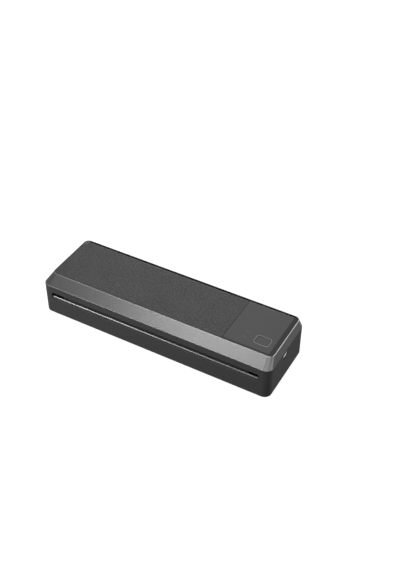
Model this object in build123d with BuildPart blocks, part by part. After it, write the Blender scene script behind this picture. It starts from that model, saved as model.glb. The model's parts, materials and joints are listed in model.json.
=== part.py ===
from build123d import *
import math
import os

os.makedirs("parts", exist_ok=True)

# A portable thermal printer for A4 sheets, in millimetres. X runs along the printer to the
# right, Y to the back and Z up. The origin is on the table, under the middle of the body.

# ---------------------------------------------------------------- driving dimensions
# Body
body_depth = 81.3
head_room = 19.0
foot_proud = 0.8
bezel_height = 7.4
wall = 2.4
corner_radius = 8.0
base_fillet = 1.2
rim_inset = 1.8
end_inset = 4.1
band_depth = 13.65
crown_radius = 6.0
rim_fillet = 0.3
band_skin = 2.0
gusset_nose = 3.0
seat_gap = 0.3

# Plates let into the top
plate_thickness = 2.0
plate_gap = 0.3
rim_width = 0.5
ledge_width = 3.2
ledge_thickness = 1.5
panel_length = 60.9
cross_bar_width = 5.0
panel_slope_width = 4.9
panel_slope_drop = 1.1
panel_front_width = 2.2
panel_front_drop = 0.5

# Paper path
paper_width = 216.0
side_room = 27.3
feed_rise = 11.6
nip_gap = 0.3
slot_left_inset = 11.4
slot_right_inset = 11.8
slot_below_path = 4.4
slot_above_path = 3.7
slot_end_radius = 2.2
lip_recess = 0.5
lip_radius = 1.4
exit_inset = 19.5
exit_below_path = 2.1
guide_thickness = 1.2
guide_drop = 0.9
upper_guide_flat = 8.0
upper_guide_ribs = 9
sensor_x = 60.0
sensor_inset = 25.25
sensor_length = 4.0
sensor_width = 3.4
sensor_board_length = 14.0
sensor_board_width = 8.0
sensor_board_thickness = 1.0
peg_radius = 0.9
peg_height = 2.0
peg_pitch = 10.0

# Sheet steel side plates
paper_clear = 2.5
sheet = 1.5
plate_front_inset = 5.25
plate_back_inset = 8.25
flange_width = 7.0
flange_length = 8.0
flange_lift = 2.0
flange_screw_front = 5.0
flange_screw_back = 4.0

# Platen roller
platen_y = 4.0
platen_radius = 6.0
platen_core_radius = 3.0
journal_radius = 2.5
running_gap = 0.05
bush_radius = 4.0
bush_flange_radius = 5.2
bush_flange = 1.2
bush_end = 0.5
clip_width = 0.7
clip_gap = 0.3
shaft_end = 0.6

# Gear train
gear_module = 0.8
pinion_teeth = 10
wheel_teeth = 20
gear_width = 3.0
gear_gap = 0.5
gear_side_gap = 1.1
pressure_angle = 25.0
addendum = 0.85
dedendum = 1.15
idler_post_radius = 1.5
motor_y = -19.0
motor_floor_gap = 2.4
motor_radius = 9.0
motor_length = 18.5
motor_shaft_radius = 1.0
motor_shaft_bore = 7.0
motor_collar_radius = 3.0
motor_collar = 0.5
motor_screw_pitch = 22.0
motor_flange = 1.0
motor_screw_head_radius = 1.9
motor_screw_head = 1.2
backlash = 0.22

# Print head
head_front_y = -4.0
head_back_y = 16.0
ceramic_thickness = 0.8
sink_thickness = 3.0
fin_height = 2.2
fin_thickness = 1.2
fin_pitch = 2.6
head_side_gap = 1.0
ceramic_width = 12.0
driver_cover_gap = 0.2
driver_cover_lift = 0.1
pivot_y = 22.0
pivot_rise = 7.0
pivot_radius = 1.5
ear_radius = 3.2
ear_width = 6.0
bar_drop = 3.6
bar_width = 12.0
bar_tab = 4.0
bar_flange = 1.8
bar_window = 14.0
spring_radius = 2.5
spring_wire = 0.5
spring_turns = 3
spring_runs = 12
spring_pitch_x = 52.0
spring_count = 4

# Paper cover and its hinge
hinge_radius = 3.5
lug_radius = 2.0
pin_radius = 1.0
knuckle_width = 12.0
lug_width = 4.0
hinge_left_inset = 30.9
hinge_right_inset = 24.15
rib_thickness = 1.2
rib_depth = 1.6
rib_clear = 1.5
cover_ribs = 5
leg_pitch = 120.0
leg_width = 10.0
leg_depth = 2.6
tab_pitch = 80.0
tab_width = 10.0
tab_depth = 4.0

# Screws, bosses and feet
boss_end_inset = 8.0
boss_side_inset = 14.25
boss_radius = 3.4
screw_radius = 1.1
screw_clearance = 1.4
screw_head_radius = 2.2
screw_head = 1.5
screw_tip_gap = 0.4
screw_well_radius = 2.5
screw_well_drop = 10.1
foot_radius = 5.0
foot_recess = 0.8
foot_end_inset = 27.5
foot_side_inset = 12.25

# Battery
cell_radius = 9.1
cell_length = 65.0
cell_gap = 0.5
battery_inset = 17.25
battery_end_gap = 4.25
saddle_height = 5.0

# Circuit boards
board_lift = 3.8
board_thickness = 1.6
board_end_gap = 6.5
board_depth = 35.0
board_back_inset = 5.25
standoff_radius = 2.6
board_hole_inset = 20.0
board_hole_front = 18.0
board_hole_back = 4.0
io_left_gap = 2.0
io_wall_gap = 0.7
io_boss_gap = 0.6
io_post_inset = 3.8
io_post_side = 4.5
io_screw_length = 6.0
thin_board = 1.2
button_board_drop = 4.9
panel_boss_light_gap = 8.2
panel_boss_right = 12.2
panel_boss_y = 15.0
panel_boss_margin = 4.0
panel_screw_head = 1.1
processor_size = 12.0
processor_place = (-20.0, 10.0)
memory_place = (-4.0, 10.0)
driver_size = 6.5
driver_places = ((46.0, 14.0), (34.0, 14.0))
chip_height = 1.4
radio_place = (42.0, 10.0)
radio_length = 18.0
radio_width = 13.0
radio_height = 2.4
inductor_size = 7.0
inductor_height = 4.0
inductor_places = ((82.0, 10.0), (72.0, 10.0))
capacitor_radius = 3.2
capacitor_height = 8.0
capacitor_places = ((61.0, 10.0), (53.0, 5.0))
plug_length = 9.0
plug_width = 5.0
plug_height = 3.4
plug_places = ((110.0, 30.0), (24.0, 30.0))
socket_depth = 6.0
socket_height = 2.2
header_gap = 4.0
header_pitch = 6.0
header_width = 4.0
header_length = 10.0

# Ribbon cables
ribbon_thickness = 0.3
ribbon_bend = 3.0
ribbon_rise = 1.1
head_ribbon_y = 6.0
head_ribbon_width = 10.0
head_ribbon_rise = 1.6
head_ribbon_reach = 8.5
head_socket_length = 5.0
head_socket_height = 2.6
panel_ribbon_inset = 3.0
panel_ribbon_width = 8.0
panel_socket_height = 2.4

# Power button and lights
button_inset = 23.1
button_y = -10.4
button_length = 14.3
button_depth = 10.2
button_corner = 2.2
button_gap = 0.3
button_travel = 0.5
button_flange = 0.8
button_flange_width = 1.2
button_flange_gap = 0.2
plunger_radius = 1.7
plunger_length = 1.8
switch_size = 6.0
light_inset = 42.0
light_y = (-5.5, -13.8)
light_length = 5.5
light_width = 0.9
light_foot = 1.0
led_length = 2.0
led_width = 1.25
led_height = 0.8

# USB-C port in the right end
usb_y = -5.3
usb_drop = 4.9
usb_width = 8.94
usb_height = 3.16
usb_length = 7.3
usb_shell = 0.3
usb_cutout_gap = 0.15
usb_recess = 0.4
usb_back = 1.0
usb_tongue_width = 6.6
usb_tongue_thickness = 0.7
usb_tongue_recess = 0.8

# ---------------------------------------------------------------- places worked out
body_length = paper_width + 2 * side_room
half_length = body_length / 2
half_depth = body_depth / 2
floor_z = foot_proud + wall
motor_z = floor_z + motor_floor_gap + motor_radius
path_z = motor_z + feed_rise
body_height = path_z + head_room
parting_z = body_height - bezel_height
slot_left_x = -half_length + slot_left_inset
slot_right_x = half_length - slot_right_inset
slot_bottom_z = path_z - slot_below_path
slot_top_z = path_z + slot_above_path
exit_bottom_z = path_z - exit_below_path
exit_width = 2 * (half_length - exit_inset)
seam_x = half_length - panel_length
boss_x = half_length - boss_end_inset
boss_y = half_depth - boss_side_inset
foot_x = half_length - foot_end_inset
foot_y = half_depth - foot_side_inset
screw_well_z = parting_z - screw_well_drop
sensor_y = -half_depth + sensor_inset
battery_y = -half_depth + battery_inset
top_length = body_length - 2 * end_inset
top_front_y = -half_depth + band_depth
top_back_y = half_depth - rim_inset
plate_z = body_height - plate_thickness
ledge_z = plate_z - ledge_thickness
recess_x = top_length / 2 - rim_width
recess_front_y = top_front_y + rim_width
recess_back_y = top_back_y - rim_width
recess_radius = crown_radius - rim_width
cover_left = -recess_x + plate_gap
cover_right = seam_x - plate_gap / 2
hinge_left_x = cover_left + hinge_left_inset
hinge_right_x = cover_right - hinge_right_inset
hinge_stations = (hinge_left_x, (hinge_left_x + hinge_right_x) / 2, hinge_right_x)
hinge_y = recess_back_y - plate_gap - hinge_radius
hinge_z = body_height - hinge_radius
platen_z = path_z - platen_radius
ceramic_z = path_z + nip_gap
sink_z = ceramic_z + ceramic_thickness
sink_top_z = sink_z + sink_thickness
plate_inner_x = paper_width / 2 + paper_clear
plate_outer_x = plate_inner_x + sheet
battery_x = -plate_inner_x + battery_end_gap + cell_length + cell_gap / 2
plate_front_edge = -half_depth + plate_front_inset
plate_back_edge = half_depth - plate_back_inset
flange_z = floor_z + flange_lift
flange_screw_y = (plate_front_edge + flange_screw_front, plate_back_edge - flange_screw_back)
pivot_z = path_z + pivot_rise
gear_a_x = plate_outer_x + gear_side_gap
gear_b_x = gear_a_x + gear_width + gear_gap
pitch_small = gear_module * pinion_teeth / 2
pitch_large = gear_module * wheel_teeth / 2
mesh_distance = pitch_small + pitch_large
guide_z = path_z - guide_drop
board_z = floor_z + board_lift
board_top_z = board_z + board_thickness
board_length = 2 * (plate_inner_x - board_end_gap)
board_half = board_length / 2
board_back_y = half_depth - board_back_inset
board_front_y = board_back_y - board_depth
board_hole_x = board_half - board_hole_inset
board_hole_y = (board_back_y - board_hole_front, board_back_y - board_hole_back)
usb_z = parting_z - usb_drop
io_z = usb_z - usb_height / 2 - thin_board
io_top_z = io_z + thin_board
io_back_y = boss_y - boss_radius - io_boss_gap
io_front_y = -io_back_y
io_left_x = plate_outer_x + io_left_gap
io_right_x = half_length - wall - io_wall_gap
io_post_x = io_right_x - io_post_inset
io_post_y = io_back_y - io_post_side
header_x = io_left_x + header_gap
panel_ribbon_y = io_back_y - panel_ribbon_inset
header_y = panel_ribbon_y - header_pitch
button_x = half_length - button_inset
light_x = half_length - light_inset
panel_boss_x = (light_x - panel_boss_light_gap, half_length - panel_boss_right)
button_board_z = plate_z - button_board_drop
button_board_top_z = button_board_z + thin_board
bar_z = button_board_z - bar_drop

# The idler sits above the line from motor to platen, one mesh distance from both.
centre_dy = platen_y - motor_y
centre_dz = platen_z - motor_z
centre_distance = math.hypot(centre_dy, centre_dz)
idler_rise = math.sqrt(mesh_distance**2 - (centre_distance / 2) ** 2)
idler_y = (platen_y + motor_y) / 2 - idler_rise * centre_dz / centre_distance
idler_z = (platen_z + motor_z) / 2 + idler_rise * centre_dy / centre_distance


def direction(from_y, from_z, to_y, to_z):
    """Angle in degrees of the line from one centre to another, in the YZ plane."""
    return math.degrees(math.atan2(to_z - from_z, to_y - from_y))


def gear_points(teeth, tooth_at):
    """Corners of a spur gear with involute flanks; one tooth is centred on tooth_at degrees."""
    pressure = math.radians(pressure_angle)
    pitch = gear_module * teeth / 2
    base = pitch * math.cos(pressure)
    tip = pitch + addendum * gear_module
    root = pitch - dedendum * gear_module
    half_tooth = (math.pi * gear_module / 2 - backlash) / 2 / pitch

    def half_angle(radius):
        at = math.acos(min(1.0, base / radius))
        grown = math.tan(at) - at
        at_pitch = math.tan(pressure) - pressure
        return half_tooth + at_pitch - grown

    radii = (root, max(base, root), pitch, tip)
    points = []
    for tooth in range(teeth):
        middle = math.radians(tooth_at) + 2 * math.pi * tooth / teeth
        for radius in radii:
            angle = middle - half_angle(max(radius, base))
            points.append((radius * math.cos(angle), radius * math.sin(angle)))
        for radius in reversed(radii):
            angle = middle + half_angle(max(radius, base))
            points.append((radius * math.cos(angle), radius * math.sin(angle)))
    unique = [points[0]]
    for point in points[1:]:
        if math.dist(point, unique[-1]) > 0.01:
            unique.append(point)
    return unique


def end_plane(x, y, z):
    """Plane that looks along +X, with its own x along Y and its own y along Z."""
    return Plane(origin=(x, y, z), x_dir=(0, 1, 0), z_dir=(1, 0, 0))


# ---------------------------------------------------------------- lower case
with BuildPart() as lower_case:
    with BuildSketch(Plane.XY.offset(foot_proud)):
        RectangleRounded(body_length, body_depth, corner_radius)
    extrude(amount=parting_z - foot_proud)
    fillet(lower_case.faces().sort_by(Axis.Z)[0].edges(), base_fillet)
    with BuildSketch(Plane.XY.offset(floor_z)):
        RectangleRounded(body_length - 2 * wall, body_depth - 2 * wall, corner_radius - wall)
    extrude(amount=parting_z - floor_z, mode=Mode.SUBTRACT)

    # Tall corner bosses for the screws that hold the top on, each webbed to its end wall
    with BuildSketch(Plane.XY.offset(floor_z)):
        with GridLocations(2 * boss_x, 2 * boss_y, 2, 2):
            Circle(boss_radius)
    extrude(amount=parting_z - floor_z)
    web_length = half_length - wall / 2 - boss_x
    with BuildSketch(Plane.XY.offset(floor_z)):
        with GridLocations(2 * boss_x + web_length, 2 * boss_y, 2, 2):
            Rectangle(web_length, rib_thickness)
    extrude(amount=parting_z - wall - floor_z)
    with BuildSketch(Plane.XY.offset(foot_proud)):
        with GridLocations(2 * boss_x, 2 * boss_y, 2, 2):
            Circle(screw_well_radius)
    extrude(amount=screw_well_z - foot_proud, mode=Mode.SUBTRACT)
    with BuildSketch(Plane.XY.offset(foot_proud)):
        with GridLocations(2 * boss_x, 2 * boss_y, 2, 2):
            Circle(screw_clearance)
    extrude(amount=parting_z - foot_proud, mode=Mode.SUBTRACT)

    # Round recesses for the feet
    with BuildSketch(Plane.XY.offset(foot_proud)):
        with GridLocations(2 * foot_x, 2 * foot_y, 2, 2):
            Circle(foot_radius + seat_gap / 2)
    extrude(amount=foot_recess, mode=Mode.SUBTRACT)

    # Feed slot in the front wall and exit slot in the back wall
    slot_middle_x = (slot_left_x + slot_right_x) / 2
    slot_middle_z = (slot_bottom_z + slot_top_z) / 2
    with BuildSketch(Plane.XZ.offset(half_depth + 1)):
        with Locations((slot_middle_x, slot_middle_z)):
            RectangleRounded(slot_right_x - slot_left_x, slot_top_z - slot_bottom_z, slot_end_radius)
    extrude(amount=-(wall + 2), mode=Mode.SUBTRACT)
    exit_middle_z = (exit_bottom_z + slot_top_z) / 2
    with BuildSketch(Plane.XZ.offset(-half_depth + wall + 1)):
        with Locations((0, exit_middle_z)):
            RectangleRounded(exit_width, slot_top_z - exit_bottom_z, slot_end_radius)
    extrude(amount=-(wall + 2), mode=Mode.SUBTRACT)

    # Cut-out for the USB-C port in the right end
    with BuildSketch(end_plane(half_length + 1, usb_y, usb_z)):
        SlotOverall(usb_width + 2 * usb_cutout_gap, usb_height + 2 * usb_cutout_gap)
    extrude(amount=-(wall + 2), mode=Mode.SUBTRACT)

    # Hinge lugs on gussets that stand on the back wall, a pair at each station
    lug_pitch = knuckle_width + 2 * seat_gap + lug_width
    gusset_front_y = hinge_y - lug_radius - 1.0
    for station in hinge_stations:
        for side in (-1, 1):
            with BuildSketch(end_plane(station + side * lug_pitch / 2 - lug_width / 2, 0, 0)):
                with BuildLine():
                    Polyline(
                        (half_depth - wall / 2, slot_top_z + 1.5),
                        (half_depth - wall / 2, parting_z - seat_gap),
                        (hinge_y - seat_gap, parting_z - seat_gap),
                        (hinge_y - seat_gap, hinge_z),
                        (hinge_y - lug_radius, hinge_z),
                        (gusset_front_y, parting_z - seat_gap),
                        (gusset_front_y, parting_z - gusset_nose),
                        close=True,
                    )
                make_face()
                with Locations((hinge_y, hinge_z)):
                    Circle(lug_radius)
                with Locations((hinge_y, hinge_z)):
                    Circle(pin_radius, mode=Mode.SUBTRACT)
            extrude(amount=lug_width)

    # Saddles that carry the two battery cells
    saddle_pitch = cell_length / 2 + cell_gap / 4
    cell_z = floor_z + seat_gap + cell_radius
    for place in (-1.5, -0.5, 0.5, 1.5):
        with BuildSketch(end_plane(battery_x + place * saddle_pitch - 1, battery_y, floor_z)):
            with Locations((0, saddle_height / 2)):
                Rectangle(2 * cell_radius, saddle_height)
            with Locations((0, cell_z - floor_z)):
                Circle(cell_radius + 0.1, mode=Mode.SUBTRACT)
        extrude(amount=2)

    # Standoffs for the main board and posts for the port board
    with BuildSketch(Plane.XY.offset(floor_z)):
        for y in board_hole_y:
            with Locations((-board_hole_x, y), (board_hole_x, y)):
                Circle(standoff_radius)
                Circle(screw_radius, mode=Mode.SUBTRACT)
    extrude(amount=board_z - floor_z)
    with BuildSketch(Plane.XY.offset(floor_z)):
        with Locations((io_post_x, -io_post_y), (io_post_x, io_post_y)):
            Circle(standoff_radius)
    extrude(amount=io_z - floor_z)
    with BuildSketch(Plane.XY.offset(io_z - io_screw_length)):
        with Locations((io_post_x, -io_post_y), (io_post_x, io_post_y)):
            Circle(screw_radius)
    extrude(amount=io_screw_length, mode=Mode.SUBTRACT)

    # Low bosses under the flanges of the side plates
    flange_x = plate_outer_x + flange_width / 2
    with BuildSketch(Plane.XY.offset(floor_z)):
        for y in flange_screw_y:
            with Locations((-flange_x, y), (flange_x, y)):
                Circle(standoff_radius)
    extrude(amount=flange_z - floor_z)
    with BuildSketch(Plane.XY.offset(floor_z - 1)):
        for y in flange_screw_y:
            with Locations((-flange_x, y), (flange_x, y)):
                Circle(screw_radius)
    extrude(amount=flange_z - floor_z + 1, mode=Mode.SUBTRACT)

# ---------------------------------------------------------------- top bezel
band_slope = (body_height - parting_z) / band_depth
band_inner_drop = band_skin * math.hypot(1, band_slope)
end_slope = end_inset / bezel_height
cavity_end_low = half_length - wall
cavity_end_high = cavity_end_low - end_slope * (ledge_z - parting_z)
cavity_front_low = -half_depth + band_inner_drop / band_slope
cavity_front_high = cavity_front_low + (ledge_z - parting_z) / band_slope
cavity_back_low = half_depth - wall
boss_top_z = ledge_z - 2 * seat_gap

# The recess takes the cover and the control panel. A turning cover can't fill the round back
# left corner, so the bezel does; that corner and the cover's notch are arcs about the hinge axis.
corner_block_radius = math.hypot(hinge_radius, hinge_radius)
with BuildPart() as plate_recess:
    with BuildSketch(Plane.XY.offset(plate_z)):
        with Locations((0, (recess_front_y + recess_back_y) / 2)):
            RectangleRounded(2 * recess_x, recess_back_y - recess_front_y, recess_radius)
    extrude(amount=plate_thickness + 1)
    with BuildSketch(end_plane(-recess_x - 1, hinge_y, hinge_z)):
        Circle(corner_block_radius)
        with Locations((corner_block_radius, corner_block_radius / 2)):
            Rectangle(2 * corner_block_radius, 3 * corner_block_radius)
    extrude(amount=recess_radius + 1, mode=Mode.SUBTRACT)

with BuildPart() as top_bezel:
    with BuildSketch(Plane.XY.offset(parting_z)):
        RectangleRounded(body_length, body_depth, corner_radius)
    with BuildSketch(Plane.XY.offset(body_height)):
        with Locations((0, (top_front_y + top_back_y) / 2)):
            RectangleRounded(top_length, top_back_y - top_front_y, crown_radius)
    loft(ruled=True)
    fillet(top_bezel.faces().sort_by(Axis.Z)[-1].edges(), rim_fillet)

    # Cavity under the ledges
    with BuildSketch(Plane.XY.offset(parting_z)):
        with Locations((0, (cavity_front_low + cavity_back_low) / 2)):
            RectangleRounded(2 * cavity_end_low, cavity_back_low - cavity_front_low, corner_radius - wall)
    with BuildSketch(Plane.XY.offset(ledge_z)):
        with Locations((0, (cavity_front_high + recess_back_y) / 2)):
            RectangleRounded(2 * cavity_end_high, recess_back_y - cavity_front_high, corner_radius - wall)
    loft(ruled=True, mode=Mode.SUBTRACT)

    # Recess for the plates, with a ledge below them
    add(plate_recess.part, mode=Mode.SUBTRACT)
    cover_window_left = -recess_x + ledge_width
    cover_window_right = seam_x - cross_bar_width / 2
    panel_window_left = seam_x + cross_bar_width / 2
    panel_window_right = recess_x - ledge_width
    window_front_y = recess_front_y + ledge_width
    with BuildSketch(Plane.XY.offset(ledge_z)):
        with Locations(((cover_window_left + cover_window_right) / 2, (window_front_y + recess_back_y) / 2)):
            Rectangle(cover_window_right - cover_window_left, recess_back_y - window_front_y)
        panel_window_back = recess_back_y - ledge_width
        with Locations(((panel_window_left + panel_window_right) / 2, (window_front_y + panel_window_back) / 2)):
            Rectangle(panel_window_right - panel_window_left, panel_window_back - window_front_y)
    extrude(amount=ledge_thickness, mode=Mode.SUBTRACT)
    # Room for the sweep of the cover's rounded back edge beside the windows
    with BuildSketch(end_plane(-recess_x + recess_radius, hinge_y, hinge_z)):
        Circle(hinge_radius + seat_gap)
    extrude(amount=seam_x + recess_x - recess_radius + plate_gap / 2, mode=Mode.SUBTRACT)

    # Screw bosses that meet the bosses of the lower case, carried by the end walls
    bezel_web_length = web_length - end_slope * (boss_top_z - parting_z)
    with BuildSketch(Plane.XY.offset(parting_z)):
        with GridLocations(2 * boss_x, 2 * boss_y, 2, 2):
            Circle(boss_radius)
        with GridLocations(2 * boss_x + bezel_web_length, 2 * boss_y, 2, 2):
            Rectangle(bezel_web_length, boss_radius)
    extrude(amount=boss_top_z - parting_z)
    with BuildSketch(Plane.XY.offset(parting_z)):
        with GridLocations(2 * boss_x, 2 * boss_y, 2, 2):
            Circle(screw_radius)
    extrude(amount=boss_top_z - parting_z - screw_tip_gap, mode=Mode.SUBTRACT)

    # Tabs that locate the bezel behind the front wall
    with BuildSketch(Plane.XY.offset(parting_z)):
        with Locations((0, -half_depth + wall + 0.1 + rib_thickness / 2)):
            with GridLocations(tab_pitch, 1, 3, 1):
                Rectangle(tab_width, rib_thickness)
    extrude(amount=-tab_depth)

# ---------------------------------------------------------------- paper cover
plate_front_y = recess_front_y + plate_gap
plate_back_y = recess_back_y - plate_gap
plate_corner = recess_radius - plate_gap
with BuildPart() as paper_cover:
    with BuildSketch(Plane.XY.offset(plate_z)) as cover_outline:
        with Locations(((cover_left + cover_right) / 2, (plate_front_y + plate_back_y) / 2)):
            Rectangle(cover_right - cover_left, plate_back_y - plate_front_y)
        fillet(cover_outline.vertices().group_by(Axis.X)[0], plate_corner)
    extrude(amount=plate_thickness)
    with BuildSketch(end_plane(-recess_x, hinge_y, hinge_z)):
        Circle(corner_block_radius + plate_gap)
    extrude(amount=recess_radius + plate_gap, mode=Mode.SUBTRACT)

    # Stiffening ribs on the underside, clear of the ledge and the hinge
    rib_front = window_front_y + rib_clear
    rib_back = hinge_y - 2 * hinge_radius - seat_gap
    rib_left = cover_window_left + rib_clear
    rib_right = cover_window_right - rib_clear
    with BuildSketch(Plane.XY.offset(plate_z)):
        with Locations(((rib_left + rib_right) / 2, (rib_front + rib_back) / 2)):
            Rectangle(rib_right - rib_left, rib_back - rib_front)
            Rectangle(
                rib_right - rib_left - 2 * rib_thickness,
                rib_back - rib_front - 2 * rib_thickness,
                mode=Mode.SUBTRACT,
            )
            with GridLocations((rib_right - rib_left) / (cover_ribs + 1), 1, cover_ribs, 1):
                Rectangle(rib_thickness, rib_back - rib_front)
            Rectangle(rib_right - rib_left, rib_thickness)
    extrude(amount=-rib_depth)

    # Knuckles below the back edge, and the round back edge about the hinge axis
    for station in hinge_stations:
        with BuildSketch(end_plane(station - knuckle_width / 2, 0, 0)):
            with Locations((hinge_y, hinge_z)):
                Circle(lug_radius + seat_gap)
            with BuildLine():
                Polyline(
                    (hinge_y - lug_radius - seat_gap, hinge_z),
                    (hinge_y - 2 * hinge_radius, plate_z),
                    (hinge_y, plate_z),
                    (hinge_y, hinge_z),
                    close=True,
                )
            make_face()
        extrude(amount=knuckle_width)
    with BuildSketch(end_plane(cover_left, 0, 0)):
        with Locations((hinge_y + hinge_radius, plate_z + plate_thickness)):
            Rectangle(2 * hinge_radius, 2 * hinge_radius)
        with Locations((hinge_y, hinge_z)):
            Circle(hinge_radius, mode=Mode.SUBTRACT)
    extrude(amount=cover_right - cover_left, mode=Mode.SUBTRACT)

    # Room for the lugs, and the bore for the pins
    for station in hinge_stations:
        for side in (-1, 1):
            lug_left = station + side * lug_pitch / 2 - lug_width / 2 - seat_gap
            with BuildSketch(end_plane(lug_left, hinge_y, hinge_z)):
                Circle(lug_radius + seat_gap)
            extrude(amount=lug_width + 2 * seat_gap, mode=Mode.SUBTRACT)
        with BuildSketch(end_plane(station - knuckle_width / 2, hinge_y, hinge_z)):
            Circle(pin_radius + running_gap)
        extrude(amount=knuckle_width, mode=Mode.SUBTRACT)

    # Legs that drop inside the front ledge and keep the cover square
    with BuildSketch(Plane.XY.offset(plate_z)):
        with Locations(((cover_left + cover_right) / 2, window_front_y + seat_gap + rib_thickness / 2)):
            with GridLocations(leg_pitch, 1, 2, 1):
                Rectangle(leg_width, rib_thickness)
    extrude(amount=-leg_depth)

with BuildPart() as hinge_pins:
    for station in hinge_stations:
        pin_length = knuckle_width + 2 * seat_gap + 2 * lug_width
        with BuildSketch(end_plane(station - pin_length / 2, hinge_y, hinge_z)):
            Circle(pin_radius)
        extrude(amount=pin_length)

# ---------------------------------------------------------------- control panel
panel_left = seam_x + plate_gap / 2
panel_right = recess_x - plate_gap
with BuildPart() as control_panel:
    with BuildSketch(Plane.XY.offset(plate_z)) as panel_outline:
        with Locations(((panel_left + panel_right) / 2, (plate_front_y + plate_back_y) / 2)):
            Rectangle(panel_right - panel_left, plate_back_y - plate_front_y)
        fillet(panel_outline.vertices().group_by(Axis.X)[-1], plate_corner)
    extrude(amount=plate_thickness)

    # Slopes down to the right end and to the front band
    with BuildSketch(Plane.XZ.offset(-plate_back_y)):
        with BuildLine():
            Polyline(
                (panel_right - panel_slope_width, body_height),
                (panel_right, body_height - panel_slope_drop),
                (panel_right, body_height),
                close=True,
            )
        make_face()
    extrude(amount=plate_back_y - plate_front_y, mode=Mode.SUBTRACT)
    with BuildSketch(end_plane(panel_left, 0, 0)):
        with BuildLine():
            Polyline(
                (plate_front_y + panel_front_width, body_height),
                (plate_front_y, body_height - panel_front_drop),
                (plate_front_y, body_height),
                close=True,
            )
        make_face()
    extrude(amount=panel_right - panel_left, mode=Mode.SUBTRACT)

    # The round back edge that the cover has too
    with BuildSketch(end_plane(panel_left, 0, 0)):
        with Locations((hinge_y + hinge_radius, plate_z + plate_thickness)):
            Rectangle(2 * hinge_radius, 2 * hinge_radius)
        with Locations((hinge_y, hinge_z)):
            Circle(hinge_radius, mode=Mode.SUBTRACT)
    extrude(amount=panel_right - panel_left, mode=Mode.SUBTRACT)

    # Openings for the button and the two lights
    with BuildSketch(Plane.XY.offset(plate_z)):
        with Locations((button_x, button_y)):
            RectangleRounded(
                button_length + 2 * button_gap, button_depth + 2 * button_gap, button_corner + button_gap
            )
        for y in light_y:
            with Locations((light_x, y)):
                Rectangle(light_length, light_width)
    extrude(amount=plate_thickness, mode=Mode.SUBTRACT)

    # Bosses that carry the button board
    with BuildSketch(Plane.XY.offset(plate_z)):
        for x in panel_boss_x:
            with Locations((x, -panel_boss_y), (x, panel_boss_y)):
                Circle(boss_radius - 1)
                Circle(screw_radius, mode=Mode.SUBTRACT)
    extrude(amount=button_board_top_z - plate_z)

with BuildPart() as indicator_lenses:
    with BuildSketch(Plane.XY.offset(plate_z)):
        for y in light_y:
            with Locations((light_x, y)):
                Rectangle(light_length, light_width)
    extrude(amount=plate_thickness)
    with BuildSketch(Plane.XY.offset(plate_z)):
        for y in light_y:
            with Locations((light_x, y)):
                Rectangle(light_length + light_foot, light_width + light_foot)
    extrude(amount=button_board_top_z + led_height + seat_gap - plate_z)

# ---------------------------------------------------------------- power button
flange_top_z = plate_z - button_flange_gap
with BuildPart() as power_button:
    with BuildSketch(Plane.XY.offset(flange_top_z - button_flange)):
        with Locations((button_x, button_y)):
            RectangleRounded(
                button_length + 2 * button_flange_width,
                button_depth + 2 * button_flange_width,
                button_corner + button_flange_width,
            )
    extrude(amount=button_flange)
    with BuildSketch(Plane.XY.offset(flange_top_z)):
        with Locations((button_x, button_y)):
            RectangleRounded(button_length, button_depth, button_corner)
    extrude(amount=body_height - flange_top_z)
    chamfer(power_button.faces().sort_by(Axis.Z)[-1].edges(), rim_fillet)

plunger_top_z = flange_top_z - button_flange
plunger_foot_z = plunger_top_z - plunger_length
switch_top_z = plunger_top_z - plunger_length / 2
switch_well_z = plunger_foot_z - button_travel - seat_gap
with BuildPart() as switch_plunger:
    with BuildSketch(Plane.XY.offset(plunger_foot_z)):
        with Locations((button_x, button_y)):
            Circle(plunger_radius)
    extrude(amount=plunger_length)

with BuildPart() as tact_switch:
    with BuildSketch(Plane.XY.offset(button_board_top_z)):
        with Locations((button_x, button_y)):
            RectangleRounded(switch_size, switch_size, 0.6)
    extrude(amount=switch_top_z - button_board_top_z)
    with BuildSketch(Plane.XY.offset(switch_well_z)):
        with Locations((button_x, button_y)):
            Circle(plunger_radius + 2 * running_gap)
    extrude(amount=switch_top_z - switch_well_z, mode=Mode.SUBTRACT)

with BuildPart() as button_board:
    with BuildSketch(Plane.XY.offset(button_board_z)):
        board_middle_x = (panel_boss_x[0] + panel_boss_x[1]) / 2
        with Locations((board_middle_x, 0)):
            RectangleRounded(
                panel_boss_x[1] - panel_boss_x[0] + 2 * panel_boss_margin,
                2 * (panel_boss_y + panel_boss_margin),
                2,
            )
        for x in panel_boss_x:
            with Locations((x, -panel_boss_y), (x, panel_boss_y)):
                Circle(screw_clearance, mode=Mode.SUBTRACT)
    extrude(amount=thin_board)

with BuildPart() as indicator_leds:
    with BuildSketch(Plane.XY.offset(button_board_top_z)):
        for y in light_y:
            with Locations((light_x, y)):
                Rectangle(led_length, led_width)
    extrude(amount=led_height)

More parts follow.
